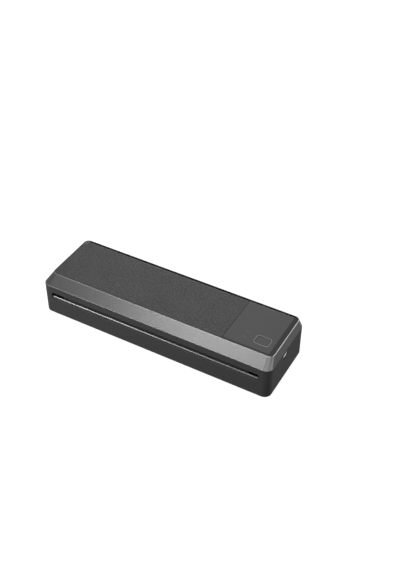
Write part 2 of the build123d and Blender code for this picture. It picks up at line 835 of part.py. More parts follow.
# ---------------------------------------------------------------- paper guides
lip_y = -half_depth + lip_recess + lip_radius
lip_z = slot_bottom_z + seat_gap + lip_radius
lip_left = slot_left_x + seat_gap
lip_right = slot_right_x - seat_gap
guide_end_y = platen_y - platen_radius + 0.8
peg_z = guide_z - guide_thickness - peg_height
with BuildPart() as lower_paper_guide:
    with BuildSketch(end_plane(lip_left, lip_y, lip_z)):
        Circle(lip_radius)
    extrude(amount=lip_right - lip_left)
    fillet(lower_paper_guide.edges().filter_by(GeomType.CIRCLE), lip_radius - 0.2)
    # The floor of the feed path rises from the lip to the platen
    with BuildSketch(end_plane(-plate_inner_x, 0, 0)):
        with BuildLine():
            Polyline(
                (lip_y, lip_z + lip_radius),
                (guide_end_y, guide_z),
                (guide_end_y, guide_z - guide_thickness),
                (lip_y + lip_radius, lip_z + lip_radius - guide_thickness),
                (lip_y, lip_z),
                close=True,
            )
        make_face()
    extrude(amount=2 * plate_inner_x)
    with BuildSketch(Plane.XY.offset(lip_z)):
        with Locations((sensor_x, sensor_y)):
            Rectangle(sensor_length + 1, sensor_width + 1)
    extrude(amount=guide_z - lip_z + guide_thickness, mode=Mode.SUBTRACT)
    # Pegs for the sensor board
    with BuildSketch(Plane.XY.offset(peg_z)):
        with Locations((sensor_x, sensor_y)):
            with GridLocations(peg_pitch, 1, 2, 1):
                Circle(peg_radius)
    extrude(amount=peg_height + guide_thickness / 6)

with BuildPart() as sensor_board:
    with BuildSketch(Plane.XY.offset(peg_z)):
        with Locations((sensor_x, sensor_y)):
            Rectangle(sensor_board_length, sensor_board_width)
    extrude(amount=-sensor_board_thickness)

with BuildPart() as paper_sensor:
    with BuildSketch(Plane.XY.offset(peg_z)):
        with Locations((sensor_x, sensor_y)):
            Rectangle(sensor_length, sensor_width)
    extrude(amount=guide_z - guide_thickness / 2 - peg_z)

upper_guide_front = -half_depth + wall + seat_gap
upper_guide_middle = upper_guide_front + upper_guide_flat
upper_guide_back = head_front_y - 1.0
upper_guide_z = slot_top_z + 0.2
upper_guide_back_z = ceramic_z + guide_thickness
with BuildPart() as upper_paper_guide:
    with BuildSketch(end_plane(-plate_inner_x, 0, 0)):
        with BuildLine():
            Polyline(
                (upper_guide_front, upper_guide_z),
                (upper_guide_middle, upper_guide_z),
                (upper_guide_back, upper_guide_back_z),
                (upper_guide_back, upper_guide_back_z + guide_thickness),
                (upper_guide_middle, upper_guide_z + guide_thickness),
                (upper_guide_front, upper_guide_z + guide_thickness),
                close=True,
            )
        make_face()
    extrude(amount=2 * plate_inner_x)
    # Stiffening ribs along the top of the guide
    rib_foot_z = upper_guide_z + guide_thickness / 2
    rib_top_z = upper_guide_z + guide_thickness + rib_depth
    for count in range(upper_guide_ribs):
        x = -plate_inner_x + (count + 1) * 2 * plate_inner_x / (upper_guide_ribs + 1)
        with BuildSketch(end_plane(x - rib_thickness / 2, 0, 0)):
            with BuildLine():
                Polyline(
                    (upper_guide_front, rib_foot_z),
                    (upper_guide_front, rib_top_z),
                    (upper_guide_middle, rib_top_z),
                    (upper_guide_back, upper_guide_back_z + guide_thickness / 2),
                    (upper_guide_middle, rib_foot_z),
                    close=True,
                )
            make_face()
        extrude(amount=rib_thickness)

rear_guide_front = platen_y + platen_radius - guide_drop
rear_guide_rise = rear_guide_front + 6
rear_guide_end = half_depth - wall - seat_gap
with BuildPart() as rear_paper_guide:
    with BuildSketch(end_plane(-plate_inner_x, 0, 0)):
        with BuildLine():
            Polyline(
                (rear_guide_front, guide_z - guide_thickness / 3),
                (rear_guide_rise, guide_z),
                (rear_guide_end, exit_bottom_z + 2 * guide_thickness / 3),
                (rear_guide_end, exit_bottom_z - guide_thickness / 3),
                (rear_guide_rise, guide_z - guide_thickness),
                (rear_guide_front + guide_thickness / 2, guide_z - 4 * guide_thickness / 3),
                close=True,
            )
        make_face()
    extrude(amount=2 * plate_inner_x)

# ---------------------------------------------------------------- side plates
plate_top_z = bar_z + 2 * guide_thickness
bar_front_y = platen_y - bar_width / 2
bar_back_y = platen_y + bar_width / 2
with BuildSketch() as side_plate_outline:
    with BuildLine():
        FilletPolyline(
            (plate_front_edge, flange_z),
            (plate_front_edge, path_z - 2),
            (bar_front_y - 6, slot_top_z + 3),
            (bar_front_y - 4, plate_top_z),
            (bar_back_y + 4, plate_top_z),
            (plate_back_edge, pivot_z + ear_radius),
            (plate_back_edge, flange_z),
            radius=(0.5, 2, 2, 2, 2, 2, 0.5),
            close=True,
        )
    make_face()
    with Locations((platen_y, platen_z)):
        Circle(bush_radius, mode=Mode.SUBTRACT)
    with Locations((pivot_y, pivot_z)):
        Circle(pivot_radius, mode=Mode.SUBTRACT)
    with Locations((platen_y, bar_z + guide_thickness / 2)):
        Rectangle(bar_tab, guide_thickness, mode=Mode.SUBTRACT)

ribbon_z = board_top_z + ribbon_rise
head_ribbon_top_z = sink_top_z + head_ribbon_rise
with BuildPart() as left_side_plate:
    with BuildSketch(end_plane(-plate_outer_x, 0, 0)):
        add(side_plate_outline.sketch)
        with Locations((head_ribbon_y, ribbon_z)):
            Rectangle(head_ribbon_width + 2, ribbon_bend, mode=Mode.SUBTRACT)
        with Locations((head_ribbon_y, head_ribbon_top_z)):
            Rectangle(head_ribbon_width + 2, ribbon_bend, mode=Mode.SUBTRACT)
    extrude(amount=sheet)
    with BuildSketch(Plane.XY.offset(flange_z)):
        for y in flange_screw_y:
            with Locations((-plate_outer_x - flange_width / 2 + sheet / 2, y)):
                RectangleRounded(flange_width + sheet, flange_length, 1)
            with Locations((-flange_x, y)):
                Circle(screw_clearance, mode=Mode.SUBTRACT)
    extrude(amount=sheet)

with BuildPart() as right_side_plate:
    with BuildSketch(end_plane(plate_inner_x, 0, 0)):
        add(side_plate_outline.sketch)
        with Locations((panel_ribbon_y, ribbon_z)):
            Rectangle(panel_ribbon_width + 2, ribbon_bend, mode=Mode.SUBTRACT)
        with Locations((motor_y, motor_z)):
            Circle(motor_collar_radius + seat_gap, mode=Mode.SUBTRACT)
            with GridLocations(motor_screw_pitch, 1, 2, 1):
                Circle(screw_radius, mode=Mode.SUBTRACT)
        with Locations((idler_y, idler_z)):
            Circle(idler_post_radius, mode=Mode.SUBTRACT)
    extrude(amount=sheet)
    with BuildSketch(Plane.XY.offset(flange_z)):
        for y in flange_screw_y:
            with Locations((plate_outer_x + flange_width / 2 - sheet / 2, y)):
                RectangleRounded(flange_width + sheet, flange_length, 1)
            with Locations((flange_x, y)):
                Circle(screw_clearance, mode=Mode.SUBTRACT)
    extrude(amount=sheet)

with BuildPart() as platen_bushings:
    bush_length = bush_flange + sheet + bush_end
    for bush_left, flange_left in (
        (-plate_outer_x - bush_end, -plate_inner_x),
        (plate_inner_x - bush_flange, plate_inner_x - bush_flange),
    ):
        with BuildSketch(end_plane(bush_left, platen_y, platen_z)):
            Circle(bush_radius)
        extrude(amount=bush_length)
        with BuildSketch(end_plane(flange_left, platen_y, platen_z)):
            Circle(bush_flange_radius)
        extrude(amount=bush_flange)
        with BuildSketch(end_plane(bush_left, platen_y, platen_z)):
            Circle(journal_radius + running_gap)
        extrude(amount=bush_length, mode=Mode.SUBTRACT)

with BuildPart() as head_pivot_shaft:
    with BuildSketch(end_plane(-plate_outer_x, pivot_y, pivot_z)):
        Circle(pivot_radius)
    extrude(amount=2 * plate_outer_x)
    chamfer(head_pivot_shaft.edges().filter_by(GeomType.CIRCLE), 0.3)

with BuildPart() as pressure_bar:
    with BuildSketch(Plane.XY.offset(bar_z)):
        with Locations((0, platen_y)):
            Rectangle(2 * plate_inner_x, bar_back_y - bar_front_y)
            Rectangle(2 * plate_outer_x, bar_tab)
            with GridLocations(spring_pitch_x, 1, 5, 1):
                RectangleRounded(bar_window, bar_tab, 1, mode=Mode.SUBTRACT)
    extrude(amount=guide_thickness)
    # Stiffening flanges bent up along both long edges
    with BuildSketch(Plane.XY.offset(bar_z)):
        for y in (bar_front_y + guide_thickness / 2, bar_back_y - guide_thickness / 2):
            with Locations((0, y)):
                Rectangle(2 * (plate_inner_x - bar_tab), guide_thickness)
    extrude(amount=guide_thickness + bar_flange)

# ---------------------------------------------------------------- platen roller
clip_x = -plate_outer_x - bush_end - clip_gap - clip_width
with BuildPart() as platen_shaft:
    core_half = paper_width / 2 + 0.5
    with BuildSketch(end_plane(-core_half, platen_y, platen_z)):
        Circle(platen_core_radius)
    extrude(amount=2 * core_half)
    with BuildSketch(end_plane(clip_x - shaft_end, platen_y, platen_z)):
        Circle(journal_radius)
    extrude(amount=gear_b_x + gear_width + 2 * shaft_end - clip_x)
    chamfer(platen_shaft.faces().sort_by(Axis.X)[0].edges(), 0.4)
    chamfer(platen_shaft.faces().sort_by(Axis.X)[-1].edges(), 0.4)

with BuildPart() as platen_rubber:
    with BuildSketch(end_plane(-paper_width / 2, platen_y, platen_z)):
        Circle(platen_radius)
        Circle(platen_core_radius, mode=Mode.SUBTRACT)
    extrude(amount=paper_width)

with BuildPart() as platen_clip:
    with BuildSketch(end_plane(clip_x, platen_y, platen_z)):
        Circle(bush_radius)
        Circle(journal_radius, mode=Mode.SUBTRACT)
    extrude(amount=clip_width)

with BuildPart() as platen_gear:
    with BuildSketch(end_plane(gear_b_x, platen_y, platen_z)):
        with BuildLine():
            Polyline(
                *gear_points(wheel_teeth, direction(platen_y, platen_z, idler_y, idler_z)), close=True
            )
        make_face()
        Circle(journal_radius, mode=Mode.SUBTRACT)
    extrude(amount=gear_width)

# ---------------------------------------------------------------- idler gear and motor
with BuildPart() as idler_post:
    with BuildSketch(end_plane(plate_inner_x, idler_y, idler_z)):
        Circle(idler_post_radius)
    extrude(amount=gear_b_x + gear_width + seat_gap + 1 - plate_inner_x)
    with BuildSketch(end_plane(gear_b_x + gear_width + seat_gap, idler_y, idler_z)):
        Circle(idler_post_radius + 1)
    extrude(amount=clip_width)

with BuildPart() as idler_gear:
    with BuildSketch(end_plane(gear_a_x, idler_y, idler_z)):
        with BuildLine():
            Polyline(
                *gear_points(wheel_teeth, direction(idler_y, idler_z, motor_y, motor_z)), close=True
            )
        make_face()
    extrude(amount=gear_width)
    half_step = 180 / pinion_teeth
    with BuildSketch(end_plane(gear_a_x + gear_width, idler_y, idler_z)):
        with BuildLine():
            Polyline(
                *gear_points(
                    pinion_teeth, direction(idler_y, idler_z, platen_y, platen_z) + half_step
                ),
                close=True,
            )
        make_face()
    extrude(amount=gear_gap + gear_width)
    with BuildSketch(end_plane(gear_a_x, idler_y, idler_z)):
        Circle(idler_post_radius + running_gap)
    extrude(amount=gear_gap + 2 * gear_width, mode=Mode.SUBTRACT)

with BuildPart() as motor_pinion:
    with BuildSketch(end_plane(gear_a_x, motor_y, motor_z)):
        with BuildLine():
            Polyline(
                *gear_points(
                    pinion_teeth, direction(motor_y, motor_z, idler_y, idler_z) + half_step
                ),
                close=True,
            )
        make_face()
        Circle(motor_shaft_radius, mode=Mode.SUBTRACT)
    extrude(amount=gear_width)

shaft_end_x = plate_inner_x - motor_shaft_bore + 1
with BuildPart() as motor_shaft:
    with BuildSketch(end_plane(shaft_end_x, motor_y, motor_z)):
        Circle(motor_shaft_radius)
    extrude(amount=gear_a_x + gear_width + gear_gap - shaft_end_x)

with BuildPart() as feed_motor:
    with BuildSketch(end_plane(plate_inner_x - motor_length, motor_y, motor_z)):
        Circle(motor_radius)
    extrude(amount=motor_length)
    chamfer(feed_motor.edges().filter_by(GeomType.CIRCLE).sort_by(Axis.X)[0], 1.0)
    with BuildSketch(end_plane(plate_inner_x - motor_flange, motor_y, motor_z)):
        SlotOverall(motor_screw_pitch + 2 * motor_collar_radius, 2 * motor_collar_radius)
    extrude(amount=motor_flange)
    with BuildSketch(end_plane(plate_inner_x, motor_y, motor_z)):
        Circle(motor_collar_radius)
    extrude(amount=sheet + motor_collar)
    with BuildSketch(end_plane(plate_inner_x - motor_shaft_bore, motor_y, motor_z)):
        Circle(motor_shaft_radius + running_gap)
    extrude(amount=motor_shaft_bore + sheet + motor_collar, mode=Mode.SUBTRACT)
    with BuildSketch(end_plane(plate_inner_x - motor_flange, motor_y, motor_z)):
        with GridLocations(motor_screw_pitch, 1, 2, 1):
            Circle(screw_radius)
    extrude(amount=motor_flange, mode=Mode.SUBTRACT)

# ---------------------------------------------------------------- print head
ear_inner_x = plate_inner_x - head_side_gap - ear_width
ear_root_y = head_back_y - fin_thickness - fin_pitch
with BuildPart() as head_heat_sink:
    sink_half = plate_inner_x - head_side_gap - 0.5
    with BuildSketch(end_plane(-sink_half, 0, 0)):
        with Locations(((head_front_y + head_back_y) / 2, sink_z + sink_thickness / 2)):
            Rectangle(head_back_y - head_front_y, sink_thickness)
        for y in (head_front_y, head_back_y - fin_thickness - fin_pitch, head_back_y - fin_thickness):
            with Locations((y + fin_thickness / 2, sink_top_z + fin_height / 2)):
                Rectangle(fin_thickness, fin_height)
    extrude(amount=2 * sink_half)
    # Ears that hang the head on its pivot shaft
    for left in (-ear_inner_x - ear_width, ear_inner_x):
        with BuildSketch(end_plane(left, 0, 0)):
            with BuildLine():
                Polyline(
                    (ear_root_y, sink_top_z - 0.5),
                    (head_back_y, sink_top_z - 0.5),
                    (pivot_y, pivot_z - ear_radius),
                    (pivot_y, pivot_z + ear_radius),
                    (ear_root_y, sink_top_z + fin_height),
                    close=True,
                )
            make_face()
            with Locations((pivot_y, pivot_z)):
                Circle(ear_radius)
        extrude(amount=ear_width)
    with BuildSketch(end_plane(-plate_inner_x, pivot_y, pivot_z)):
        Circle(pivot_radius + running_gap)
    extrude(amount=2 * plate_inner_x, mode=Mode.SUBTRACT)

with BuildPart() as head_ceramic:
    with BuildSketch(Plane.XY.offset(ceramic_z)):
        with Locations((0, platen_y)):
            Rectangle(paper_width, ceramic_width)
    extrude(amount=ceramic_thickness)

cover_strip_front = platen_y + ceramic_width / 2 + driver_cover_gap
with BuildPart() as head_driver_cover:
    with BuildSketch(Plane.XY.offset(ceramic_z + driver_cover_lift)):
        with Locations((0, (cover_strip_front + head_back_y) / 2)):
            Rectangle(paper_width, head_back_y - cover_strip_front)
    extrude(amount=ceramic_thickness - driver_cover_lift)

connector_left = -ear_inner_x + 1.0
with BuildPart() as head_connector:
    with BuildSketch(Plane.XY.offset(sink_top_z)):
        with Locations((connector_left + head_socket_length / 2, head_ribbon_y)):
            Rectangle(head_socket_length, head_ribbon_width + 2)
    extrude(amount=head_socket_height)
    # The mouth is deep, because the head lifts about a ribbon that stays
    mouth_length = head_socket_length / 2 + seat_gap
    with BuildSketch(Plane.XY.offset(sink_top_z + seat_gap)):
        with Locations((connector_left + mouth_length / 2, head_ribbon_y)):
            Rectangle(mouth_length, head_ribbon_width + 1)
    extrude(amount=head_ribbon_rise, mode=Mode.SUBTRACT)

spring_rise = (bar_z - sink_top_z - spring_wire) / spring_turns
spring_points = [
    (
        spring_radius * math.cos(2 * math.pi * run / spring_runs),
        spring_radius * math.sin(2 * math.pi * run / spring_runs),
        sink_top_z + spring_wire / 2 + spring_rise * run / spring_runs,
    )
    for run in range(spring_turns * spring_runs + 1)
]
with BuildPart() as head_springs:
    for count in range(spring_count):
        spring_x = (count - (spring_count - 1) / 2) * spring_pitch_x
        with BuildLine() as coil:
            Polyline(*[(spring_x + x, platen_y + y, z) for x, y, z in spring_points])
        with BuildSketch(Plane(coil.line @ 0, z_dir=coil.line % 0)):
            RegularPolygon(spring_wire / 2, 4)
        sweep(path=coil.line, transition=Transition.RIGHT)

# ---------------------------------------------------------------- battery
with BuildPart() as battery_cells:
    for side in (-1, 1):
        left = battery_x + side * (cell_length + cell_gap) / 2 - cell_length / 2
        with BuildSketch(end_plane(left, battery_y, cell_z)):
            Circle(cell_radius)
        extrude(amount=cell_length)
    chamfer(battery_cells.edges().filter_by(GeomType.CIRCLE), 0.6)

# ---------------------------------------------------------------- boards
with BuildPart() as main_board:
    with BuildSketch(Plane.XY.offset(board_z)):
        with Locations((0, (board_front_y + board_back_y) / 2)):
            RectangleRounded(board_length, board_back_y - board_front_y, 2)
        for y in board_hole_y:
            with Locations((-board_hole_x, y), (board_hole_x, y)):
                Circle(screw_clearance, mode=Mode.SUBTRACT)
    extrude(amount=board_thickness)

with BuildPart() as board_components:
    # Processor and memory by the middle, and the two motor drivers
    with BuildSketch(Plane.XY.offset(board_top_z)):
        with Locations((processor_place[0], board_back_y - processor_place[1])):
            Rectangle(processor_size, processor_size)
        with Locations((memory_place[0], board_back_y - memory_place[1])):
            Rectangle(driver_size, driver_size)
        for from_end, from_back in driver_places:
            with Locations((board_half - from_end, board_back_y - from_back)):
                Rectangle(driver_size, driver_size)
    extrude(amount=chip_height)
    # Radio module with its shield
    with BuildSketch(Plane.XY.offset(board_top_z)):
        with Locations((radio_place[0] - board_half, board_back_y - radio_place[1])):
            RectangleRounded(radio_length, radio_width, 0.8)
    extrude(amount=radio_height)
    # Inductors and electrolytic capacitors
    with BuildSketch(Plane.XY.offset(board_top_z)):
        for from_end, from_back in inductor_places:
            with Locations((board_half - from_end, board_back_y - from_back)):
                RectangleRounded(inductor_size, inductor_size, 1)
    extrude(amount=inductor_height)
    with BuildSketch(Plane.XY.offset(board_top_z)):
        for from_end, from_back in capacitor_places:
            with Locations((board_half - from_end, board_back_y - from_back)):
                Circle(capacitor_radius)
    extrude(amount=capacitor_height)

with BuildPart() as board_connectors:
    with BuildSketch(Plane.XY.offset(board_top_z)):
        with Locations((-(board_length - socket_depth) / 2, head_ribbon_y)):
            Rectangle(socket_depth, head_ribbon_width + 2)
        with Locations(((board_length - socket_depth) / 2, panel_ribbon_y)):
            Rectangle(socket_depth, panel_ribbon_width + 2)
    extrude(amount=socket_height)
    with BuildSketch(Plane.XY.offset(ribbon_z - ribbon_thickness)):
        with Locations((-(board_length - socket_depth / 2) / 2, head_ribbon_y)):
            Rectangle(socket_depth / 2, head_ribbon_width + 2 * seat_gap)
        with Locations(((board_length - socket_depth / 2) / 2, panel_ribbon_y)):
            Rectangle(socket_depth / 2, panel_ribbon_width + 2 * seat_gap)
    extrude(amount=2 * ribbon_thickness, mode=Mode.SUBTRACT)
    # Wire-to-board headers for battery and motor
    with BuildSketch(Plane.XY.offset(board_top_z)):
        for from_end, from_back in plug_places:
            with Locations((board_half - from_end, board_back_y - from_back)):
                Rectangle(plug_length, plug_width)
                Rectangle(plug_length - 1.6, plug_width - 1.6, mode=Mode.SUBTRACT)
    extrude(amount=plug_height)

with BuildPart() as io_board:
    with BuildSketch(Plane.XY.offset(io_z)):
        with Locations(((io_left_x + io_right_x) / 2, (io_front_y + io_back_y) / 2)):
            RectangleRounded(io_right_x - io_left_x, io_back_y - io_front_y, 1.5)
        with Locations((io_post_x, -io_post_y), (io_post_x, io_post_y)):
            Circle(screw_clearance, mode=Mode.SUBTRACT)
    extrude(amount=thin_board)

with BuildPart() as usb_receptacle:
    usb_back_x = half_length - usb_recess - usb_length
    with BuildSketch(end_plane(usb_back_x, usb_y, usb_z)):
        SlotOverall(usb_width, usb_height)
    extrude(amount=usb_length)
    with BuildSketch(end_plane(usb_back_x + usb_back, usb_y, usb_z)):
        SlotOverall(usb_width - 2 * usb_shell, usb_height - 2 * usb_shell)
    extrude(amount=usb_length - usb_back, mode=Mode.SUBTRACT)
    # Contact tongue
    with BuildSketch(end_plane(usb_back_x + usb_back, usb_y, usb_z)):
        Rectangle(usb_tongue_width, usb_tongue_thickness)
    extrude(amount=usb_length - usb_back - usb_tongue_recess)

with BuildPart() as link_header:
    with BuildSketch(Plane.XY.offset(io_top_z)):
        with Locations((header_x, header_y)):
            Rectangle(header_width, header_length)
    extrude(amount=button_board_z - io_top_z)

panel_ribbon_x = io_left_x + socket_depth
with BuildPart() as panel_connector:
    with BuildSketch(Plane.XY.offset(io_z)):
        with Locations((panel_ribbon_x, panel_ribbon_y)):
            Rectangle(socket_depth / 2, panel_ribbon_width + 0.8)
    extrude(amount=-panel_socket_height)

# ---------------------------------------------------------------- cables
head_ribbon_x = -plate_outer_x - head_ribbon_reach
ribbon_end_x = (board_length - socket_depth) / 2 + ribbon_thickness
with BuildPart() as head_ribbon:
    with BuildSketch(Plane.XZ.offset(-head_ribbon_y - head_ribbon_width / 2)):
        with BuildLine() as head_route:
            FilletPolyline(
                (connector_left + head_socket_length / 2, head_ribbon_top_z),
                (head_ribbon_x, head_ribbon_top_z),
                (head_ribbon_x, ribbon_z),
                (-ribbon_end_x, ribbon_z),
                radius=ribbon_bend,
            )
        trace(line_width=ribbon_thickness)
    extrude(amount=head_ribbon_width)

with BuildPart() as panel_ribbon:
    with BuildSketch(Plane.XZ.offset(-panel_ribbon_y - panel_ribbon_width / 2)):
        with BuildLine() as panel_route:
            FilletPolyline(
                (panel_ribbon_x, io_z - panel_socket_height),
                (panel_ribbon_x, ribbon_z),
                (ribbon_end_x, ribbon_z),
                radius=ribbon_bend,
            )
        trace(line_width=ribbon_thickness)
    extrude(amount=panel_ribbon_width)

# ---------------------------------------------------------------- feet and screws
with BuildPart() as rubber_feet:
    with BuildSketch():
        with GridLocations(2 * foot_x, 2 * foot_y, 2, 2):
            Circle(foot_radius)
    extrude(amount=foot_proud + foot_recess)
    chamfer(rubber_feet.edges().group_by(Axis.Z)[0], 0.4)

with BuildPart() as case_screws:
    with BuildSketch(Plane.XY.offset(screw_well_z - screw_head)):
        with GridLocations(2 * boss_x, 2 * boss_y, 2, 2):
            Circle(screw_head_radius)
    extrude(amount=screw_head)
    with BuildSketch(Plane.XY.offset(screw_well_z)):
        with GridLocations(2 * boss_x, 2 * boss_y, 2, 2):
            RegularPolygon(screw_radius, 6)
    extrude(amount=boss_top_z - screw_tip_gap - screw_well_z)

with BuildPart() as chassis_screws:
    with BuildSketch(Plane.XY.offset(flange_z + sheet)):
        for y in flange_screw_y:
            with Locations((-flange_x, y), (flange_x, y)):
                Circle(screw_head_radius)
    extrude(amount=screw_head)
    with BuildSketch(Plane.XY.offset(flange_z + sheet)):
        for y in flange_screw_y:
            with Locations((-flange_x, y), (flange_x, y)):
                RegularPolygon(screw_radius, 6)
    extrude(amount=-(sheet + flange_z - floor_z + 2 * screw_tip_gap))

with BuildPart() as motor_screws:
    seat_x = plate_inner_x - motor_flange
    with BuildSketch(end_plane(seat_x - motor_screw_head, motor_y, motor_z)):
        with GridLocations(motor_screw_pitch, 1, 2, 1):
            Circle(motor_screw_head_radius)
    extrude(amount=motor_screw_head)
    with BuildSketch(end_plane(seat_x, motor_y, motor_z)):
        with GridLocations(motor_screw_pitch, 1, 2, 1):
            RegularPolygon(screw_radius, 6)
    extrude(amount=motor_flange + sheet)

with BuildPart() as board_screws:
    with BuildSketch(Plane.XY.offset(board_top_z)):
        for y in board_hole_y:
            with Locations((-board_hole_x, y), (board_hole_x, y)):
                Circle(screw_head_radius)
    extrude(amount=screw_head)
    with BuildSketch(Plane.XY.offset(board_top_z)):
        for y in board_hole_y:
            with Locations((-board_hole_x, y), (board_hole_x, y)):
                RegularPolygon(screw_radius, 6)
    extrude(amount=-(board_top_z - floor_z - screw_tip_gap))
    with BuildSketch(Plane.XY.offset(io_top_z)):
        with Locations((io_post_x, -io_post_y), (io_post_x, io_post_y)):
            Circle(screw_head_radius)
    extrude(amount=screw_head)
    with BuildSketch(Plane.XY.offset(io_top_z)):
        with Locations((io_post_x, -io_post_y), (io_post_x, io_post_y)):
            RegularPolygon(screw_radius, 6)
    extrude(amount=-(thin_board + io_screw_length - screw_tip_gap))

with BuildPart() as panel_screws:
    with BuildSketch(Plane.XY.offset(button_board_z)):
        for x in panel_boss_x:
            with Locations((x, -panel_boss_y), (x, panel_boss_y)):
                Circle(screw_head_radius - seat_gap)
    extrude(amount=-panel_screw_head)
    with BuildSketch(Plane.XY.offset(button_board_z)):
        for x in panel_boss_x:
            with Locations((x, -panel_boss_y), (x, panel_boss_y)):
                RegularPolygon(screw_radius, 6)
    extrude(amount=plate_z - seat_gap - button_board_z)

# ---------------------------------------------------------------- write the pieces
pieces = {
    "lower_case": lower_case,
    "top_bezel": top_bezel,
    "paper_cover": paper_cover,
    "hinge_pins": hinge_pins,
    "control_panel": control_panel,
    "indicator_lenses": indicator_lenses,
    "power_button": power_button,
    "switch_plunger": switch_plunger,
    "tact_switch": tact_switch,
    "button_board": button_board,
    "indicator_leds": indicator_leds,
    "lower_paper_guide": lower_paper_guide,
    "sensor_board": sensor_board,
    "paper_sensor": paper_sensor,
    "upper_paper_guide": upper_paper_guide,
    "rear_paper_guide": rear_paper_guide,
    "left_side_plate": left_side_plate,
    "right_side_plate": right_side_plate,
    "platen_bushings": platen_bushings,
    "head_pivot_shaft": head_pivot_shaft,
    "pressure_bar": pressure_bar,
    "platen_shaft": platen_shaft,
    "platen_rubber": platen_rubber,
    "platen_clip": platen_clip,
    "platen_gear": platen_gear,
    "idler_post": idler_post,
    "idler_gear": idler_gear,
    "motor_pinion": motor_pinion,
    "motor_shaft": motor_shaft,
    "feed_motor": feed_motor,
    "head_heat_sink": head_heat_sink,
    "head_ceramic": head_ceramic,
    "head_driver_cover": head_driver_cover,
    "head_connector": head_connector,
    "head_springs": head_springs,
    "battery_cells": battery_cells,
    "main_board": main_board,
    "board_components": board_components,
    "board_connectors": board_connectors,
    "io_board": io_board,
    "usb_receptacle": usb_receptacle,
    "link_header": link_header,
    "panel_connector": panel_connector,
    "head_ribbon": head_ribbon,
    "panel_ribbon": panel_ribbon,
    "rubber_feet": rubber_feet,
    "case_screws": case_screws,
    "chassis_screws": chassis_screws,
    "motor_screws": motor_screws,
    "board_screws": board_screws,
    "panel_screws": panel_screws,
}
for name, piece in pieces.items():
    piece.part.label = name
    export_step(piece.part, f"parts/{name}.step")
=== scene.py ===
import json
import math

import bmesh
import bpy
from mathutils import Matrix, Vector


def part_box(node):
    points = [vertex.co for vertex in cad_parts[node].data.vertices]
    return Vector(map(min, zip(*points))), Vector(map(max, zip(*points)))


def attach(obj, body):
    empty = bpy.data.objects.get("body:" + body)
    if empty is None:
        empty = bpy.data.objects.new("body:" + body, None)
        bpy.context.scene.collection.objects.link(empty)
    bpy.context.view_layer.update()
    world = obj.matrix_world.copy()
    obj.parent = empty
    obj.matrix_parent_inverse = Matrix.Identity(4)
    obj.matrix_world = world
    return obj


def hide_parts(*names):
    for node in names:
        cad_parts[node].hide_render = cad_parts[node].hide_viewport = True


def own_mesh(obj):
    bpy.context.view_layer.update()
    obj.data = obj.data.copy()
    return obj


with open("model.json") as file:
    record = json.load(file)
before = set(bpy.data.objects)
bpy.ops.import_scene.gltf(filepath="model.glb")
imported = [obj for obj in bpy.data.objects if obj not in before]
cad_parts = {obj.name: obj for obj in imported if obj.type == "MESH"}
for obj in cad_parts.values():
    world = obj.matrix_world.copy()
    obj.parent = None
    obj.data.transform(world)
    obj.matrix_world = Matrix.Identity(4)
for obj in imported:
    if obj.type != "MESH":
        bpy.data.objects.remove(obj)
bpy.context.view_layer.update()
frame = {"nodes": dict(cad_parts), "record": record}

# A portable thermal printer for A4 sheets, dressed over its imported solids. Metres, +Z up,
# +X towards the port end, +Y to the back.

nodes = frame["nodes"]


# ------------------------------------------------------------------ node trees
class Value:
    """A node's output. Python's operators on it add a shader's Math nodes, and | takes the
    larger of two."""

    def __init__(self, tree, socket):
        self.tree = tree
        self.socket = socket

    def maths(self, operation, *others, swapped=False):
        """A Math node on this value and the others, in that order unless swapped."""
        step = self.tree.nodes.new("ShaderNodeMath")
        step.operation = operation
        terms = (self, *others)
        if swapped:
            terms = tuple(reversed(terms))
        for place, term in zip(step.inputs, terms):
            if isinstance(term, Value):
                self.tree.links.new(term.socket, place)
            else:
                place.default_value = term
        return Value(self.tree, step.outputs[0])

    def __add__(self, other):
        return self.maths("ADD", other)

    def __radd__(self, other):
        return self.maths("ADD", other, swapped=True)

    def __sub__(self, other):
        return self.maths("SUBTRACT", other)

    def __rsub__(self, other):
        return self.maths("SUBTRACT", other, swapped=True)

    def __mul__(self, other):
        return self.maths("MULTIPLY", other)

    def __rmul__(self, other):
        return self.maths("MULTIPLY", other, swapped=True)

    def __gt__(self, other):
        return self.maths("GREATER_THAN", other)

    def __lt__(self, other):
        return self.maths("LESS_THAN", other)

    def __or__(self, other):
        return self.maths("MAXIMUM", other)

    def __abs__(self):
        return self.maths("ABSOLUTE")

    def fraction(self):
        return self.maths("FRACT")


class Graph:
    """A node tree, built node by node."""

    def __init__(self, tree):
        self.tree = tree
        tree.nodes.clear()

    def node(self, kind, settings=None, sockets=None, out=0):
        """Adds a node: its settings first, then its sockets' values or links."""
        made = self.tree.nodes.new(kind)
        for name, value in (settings or {}).items():
            setattr(made, name, value)
        for name, value in (sockets or {}).items():
            if isinstance(value, Value):
                self.tree.links.new(value.socket, made.inputs[name])
            else:
                made.inputs[name].default_value = value
        return Value(self.tree, made.outputs[out]) if made.outputs else None

    def seen_rays(self):
        """1 for the rays that show a thing: to the camera, in a reflection or through a lens."""
        camera_ray = self.node("ShaderNodeLightPath", out="Is Camera Ray")
        glossy_ray = self.node("ShaderNodeLightPath", out="Is Glossy Ray")
        clear_ray = self.node("ShaderNodeLightPath", out="Is Transmission Ray")
        return camera_ray | glossy_ray | clear_ray


